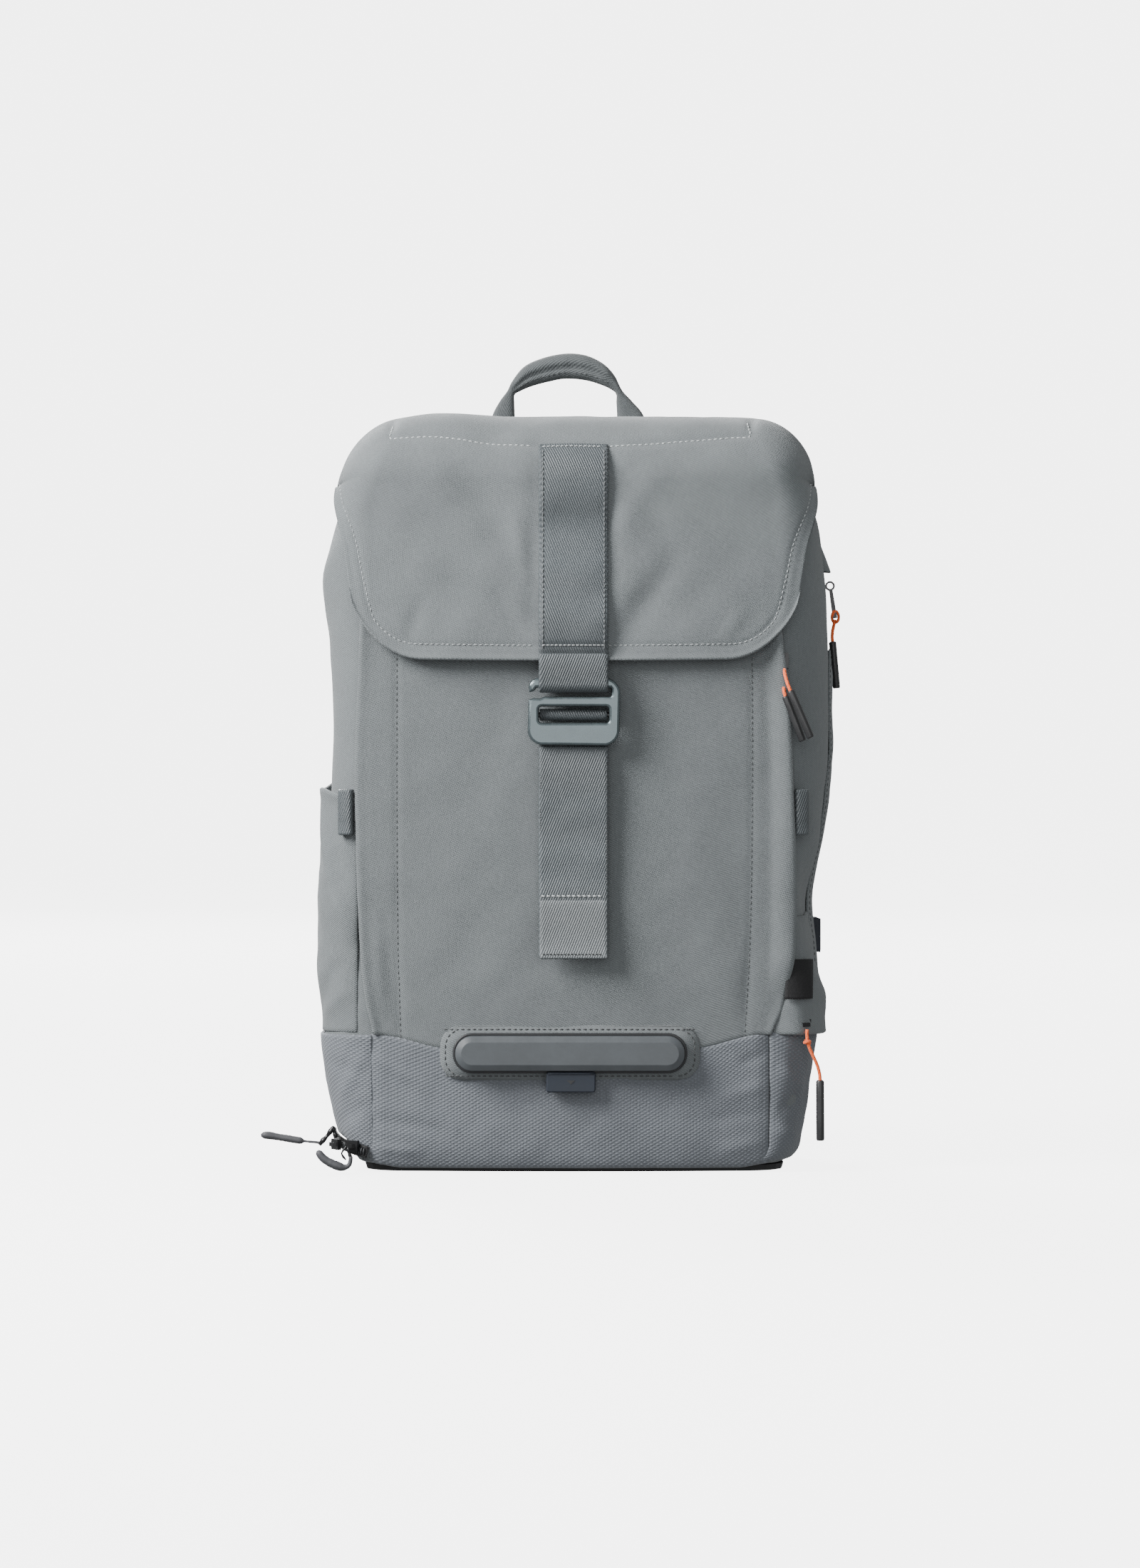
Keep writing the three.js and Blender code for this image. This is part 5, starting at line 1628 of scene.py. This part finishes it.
CORD_WIDE = 2.0
CORD_ROUTES = {
    "front_upper": [(121.7, -77.4, 286.4), (121.9, -79.6, 283.6), (122.6, -82, 280.4), (123.6, -83.6, 277),
                    (125, -84.2, 273.6), (128.8, -84.4, 264.8), (132.6, -84.6, 256), (136.4, -84.8, 247.2)],
    "front_lower": [(121.4, -77.4, 275.8), (121.4, -78.4, 274), (121.7, -79, 272.4), (122.4, -79.2, 270.6),
                    (125.7, -79.2, 262.2), (129, -79.2, 253.8), (132.2, -79.2, 245.4)],
    "rear": [(157.9, 61.4, 319), (157.4, 61.4, 316), (156.6, 61.4, 312.4), (156.3, 61.4, 309),
             (156.5, 61.4, 305.6), (157.3, 61.4, 296.4), (158.1, 61.4, 287.2), (158.9, 61.4, 278)],
    "lower": [(134.9, -72, 81.4), (134.8, -72.2, 78.4), (135.2, -72.4, 74.6), (136.6, -72, 70),
              (138.6, -71.4, 65.8), (140.8, -70.6, 60.8), (142.1, -70, 56), (142.4, -69.8, 52),
              (142.4, -69.8, 43), (142.5, -69.7, 31), (142.6, -69.6, 18)],
}
GRIPS = {"front_upper": (4, 2.1), "front_lower": (3, 2.1), "rear": (4, 2.2), "lower": (7, 2.3)}


def cords():
    for name, route in CORD_ROUTES.items():
        body = f"pull_{name}"
        path = curve_through(route, 1.6)
        cord = tube(f"cord_{name}", path, CORD_WIDE / 2, (CORD, "orange_cord"), body, 10)
        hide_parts(f"pull_cord_{name}")
        start, radius = GRIPS[name]
        a, b = Vector(route[start]), Vector(route[-1])
        steps = [(-0.01, 0.72), (0.0, 0.9), (0.02, 1.0), (0.3, 1.0), (0.6, 1.01), (0.97, 1.0), (0.99, 0.93),
                 (1.0, 0.8)]
        grip = tube(f"grip_{name}", [a.lerp(b, t) for t, _ in steps], [radius * r for _, r in steps],
                    "grip_plastic", body, 20)
        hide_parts(f"pull_grip_{name}")

    knot = []
    for k in range(12):
        turn = k / 3 * 2.4
        knot.append((134.9 + 1.5 * math.cos(turn), -72.4 + 1.5 * math.sin(turn), 73.4 + 0.9 * (k / 3) / 2))
    tube("cord_knot_lower", knot, 0.95, (CORD, "orange_cord"), "pull_lower", 8)
    around = []
    for k in range(25):
        t = k * 2 * math.pi / 24
        around.append((158.2 + 2.0 * math.cos(t), 61.4 + 1.2 * math.sin(2 * t), 320.6 + 3.4 * math.sin(t)))
    tube("cord_loop_rear", around, 0.9, (CORD, "orange_cord"), "pull_rear", 8)


def rubber_pulls():
    """The base zip's two moulded pulls: a flat tongue, a ribbed neck and a clip at the slider."""
    rear = [(-142.6, 15.6), (-144, 16.2), (-148, 16.6), (-152.5, 17.0), (-153.4, 17.2), (-155, 17.4),
            (-161, 18.4), (-167, 19.4), (-172, 20.2), (-175, 20.4), (-176.6, 20.3)]
    rear_size = [1.0, 0.85, 0.8, 0.9, 2.1, 2.2, 2.3, 2.2, 2.5, 2.2, 0.9]
    front = [(-124.6, 9.4), (-124.8, 6.6), (-125.8, 4.2), (-128.2, 3.2), (-130, 3.4), (-134, 4.8),
             (-138, 6.8), (-141, 9.2), (-142.8, 11.8), (-143.4, 12.9)]
    front_size = [1.3, 1.4, 1.5, 1.9, 2.6, 2.8, 2.6, 2.5, 2.1, 0.8]
    for name, route, sizes, y in (("rear", rear, rear_size, -59.6), ("front", front, front_size, -76.0)):
        path = curve_through([(x, y, z) for x, z in route], 1.2)
        runs = running_length([Vector(p) for p in route])
        places = [run / runs[-1] for run in runs]
        radii = []
        for k in range(len(path)):
            share = k / (len(path) - 1)
            rib = 0.12 * math.sin(share * 90) if 0.45 < share < 0.75 else 0.0
            radii.append(table(list(zip(places, sizes)), share) + rib)
        pull = tube(f"rubber_{name}", path, radii, (PULL_RUBBER, "grey_rubber"), f"pull_base_{name}", 14,
                    0.9)
        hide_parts(f"rubber_pull_{name}")
    rear_clip = [(-143.2, 14.8), (-141, 17.6), (-138.6, 20.2), (-136.6, 23), (-135, 25.4)]
    metal = (("rear_clip", "rear", rear_clip, -59.4, 2.1),
             ("rear_shank", "rear", [(-135.6, 25.2), (-134.6, 22), (-133.6, 19)], -59.0, 1.9),
             ("front_clip", "front", [(-124.4, 8.2), (-125.6, 11.4), (-126.2, 14.6)], -75.4, 1.6),
             ("front_shank", "front", [(-127.4, 7.4), (-129.8, 11), (-127.2, 15)], -74.6, 0.9))
    for name, end, route, y, size in metal:
        path = curve_through([(x, y, z) for x, z in route], 0.8)
        taper = [size * (1 - 0.2 * math.cos(4 * math.pi * k / (len(path) - 1))) for k in range(len(path))]
        tube(f"pull_{name}", path, taper, "black_metal", f"pull_base_{end}", 12, 0.6)


# ---- the CAD nodes that show --------------------------------------------------


def kept_nodes():
    """Gives the CAD nodes that stay their finish and soft edges."""
    for part in frame["record"]["subparts"]:
        node = frame["nodes"][part["node"]]
        if node.hide_render:
            continue
        node.data.materials.clear()
        node.data.materials.append(FINISH[part["material_slot"]])
        soften(node, 0.25)


# ---- studio -------------------------------------------------------------------

PAPER_GLOW = 4.85
AIR_LIGHT = 0.5
LAMPS = (("key", (-1.2, -0.8, 1.16), 1.0, 93), ("front", (0.3, -5.0, 1.2), 4.0, 104),
         ("back", (-1.5, 4.5, 3.0), 2.5, 640))
# The bowl's flat floor, the radius of its bend and its height, in metres.
BOWL_FLAT, BOWL_CURVE, BOWL_TOP = 6.0, 3.0, 12.0
BOWL_DROP = 0.4  # how far it lies under the sole, in millimetres
AIM = Vector((0, 0, 0.22))


def studio():
    """A seamless pale bowl that glows evenly, three soft lamps and even air light."""
    s = Shader("studio_paper", 0.9, specular=0.1)
    flecks = s.noise(s.place("Object"), 3.0, 2.0)
    paper = s.finish(s.blend(flecks, (0.24, 0.24, 0.24), (0.26, 0.26, 0.26)), flecks, 0.0001)
    s.surface.inputs["Emission Color"].default_value = (1, 1, 1, 1)
    s.surface.inputs["Emission Strength"].default_value = PAPER_GLOW
    profile = [(radius, 0.0) for radius in (1, 2, 4, BOWL_FLAT)]
    for angle in range(10, 91, 10):
        c, d = math.cos(math.radians(angle)), math.sin(math.radians(angle))
        profile.append((BOWL_FLAT + BOWL_CURVE * d, BOWL_CURVE - BOWL_CURVE * c))
    profile.append((BOWL_FLAT + BOWL_CURVE, BOWL_TOP))
    turns = 72
    points, faces = [(0, 0, -BOWL_DROP)], []
    for radius, height in profile:
        for k in range(turns):
            angle = 2 * math.pi * k / turns
            across = radius / MM
            points.append((across * math.cos(angle), across * math.sin(angle), height / MM - BOWL_DROP))
    for k in range(turns):
        n = (k + 1) % turns
        faces.append((0, 1 + k, 1 + n))
        for r in range(len(profile) - 1):
            a, b = 1 + r * turns, 1 + (r + 1) * turns
            faces.append((a + k, b + k, b + n, a + n))
    backdrop = piece("backdrop", points, faces, (paper, "shell_fabric"))
    backdrop.visible_diffuse = False
    backdrop.visible_glossy = False
    backdrop.visible_shadow = False

    world = bpy.data.worlds.new("studio")
    bpy.context.scene.world = world
    world.use_nodes = True
    world.node_tree.nodes["Background"].inputs["Color"].default_value = (0.97, 0.99, 1.0, 1)
    world.node_tree.nodes["Background"].inputs["Strength"].default_value = AIR_LIGHT
    for name, place, size, power in LAMPS:
        light = bpy.data.objects.new(name, bpy.data.lights.new(name, "AREA"))
        light.data.shape = "DISK"
        light.data.size = size
        light.data.energy = power
        light.visible_camera = False
        light.location = place
        light.rotation_euler = (AIM - light.location).to_track_quat("-Z", "Y").to_euler()
        bpy.context.scene.collection.objects.link(light)


cords()
bag_body()
front_panel()
base()
side_pockets()
side_hood()
flap()
closure()
light_mount()
handle()
back_panel()
harness()
side_trims()
zips()
rubber_pulls()
kept_nodes()
studio()

bpy.context.view_layer.update()
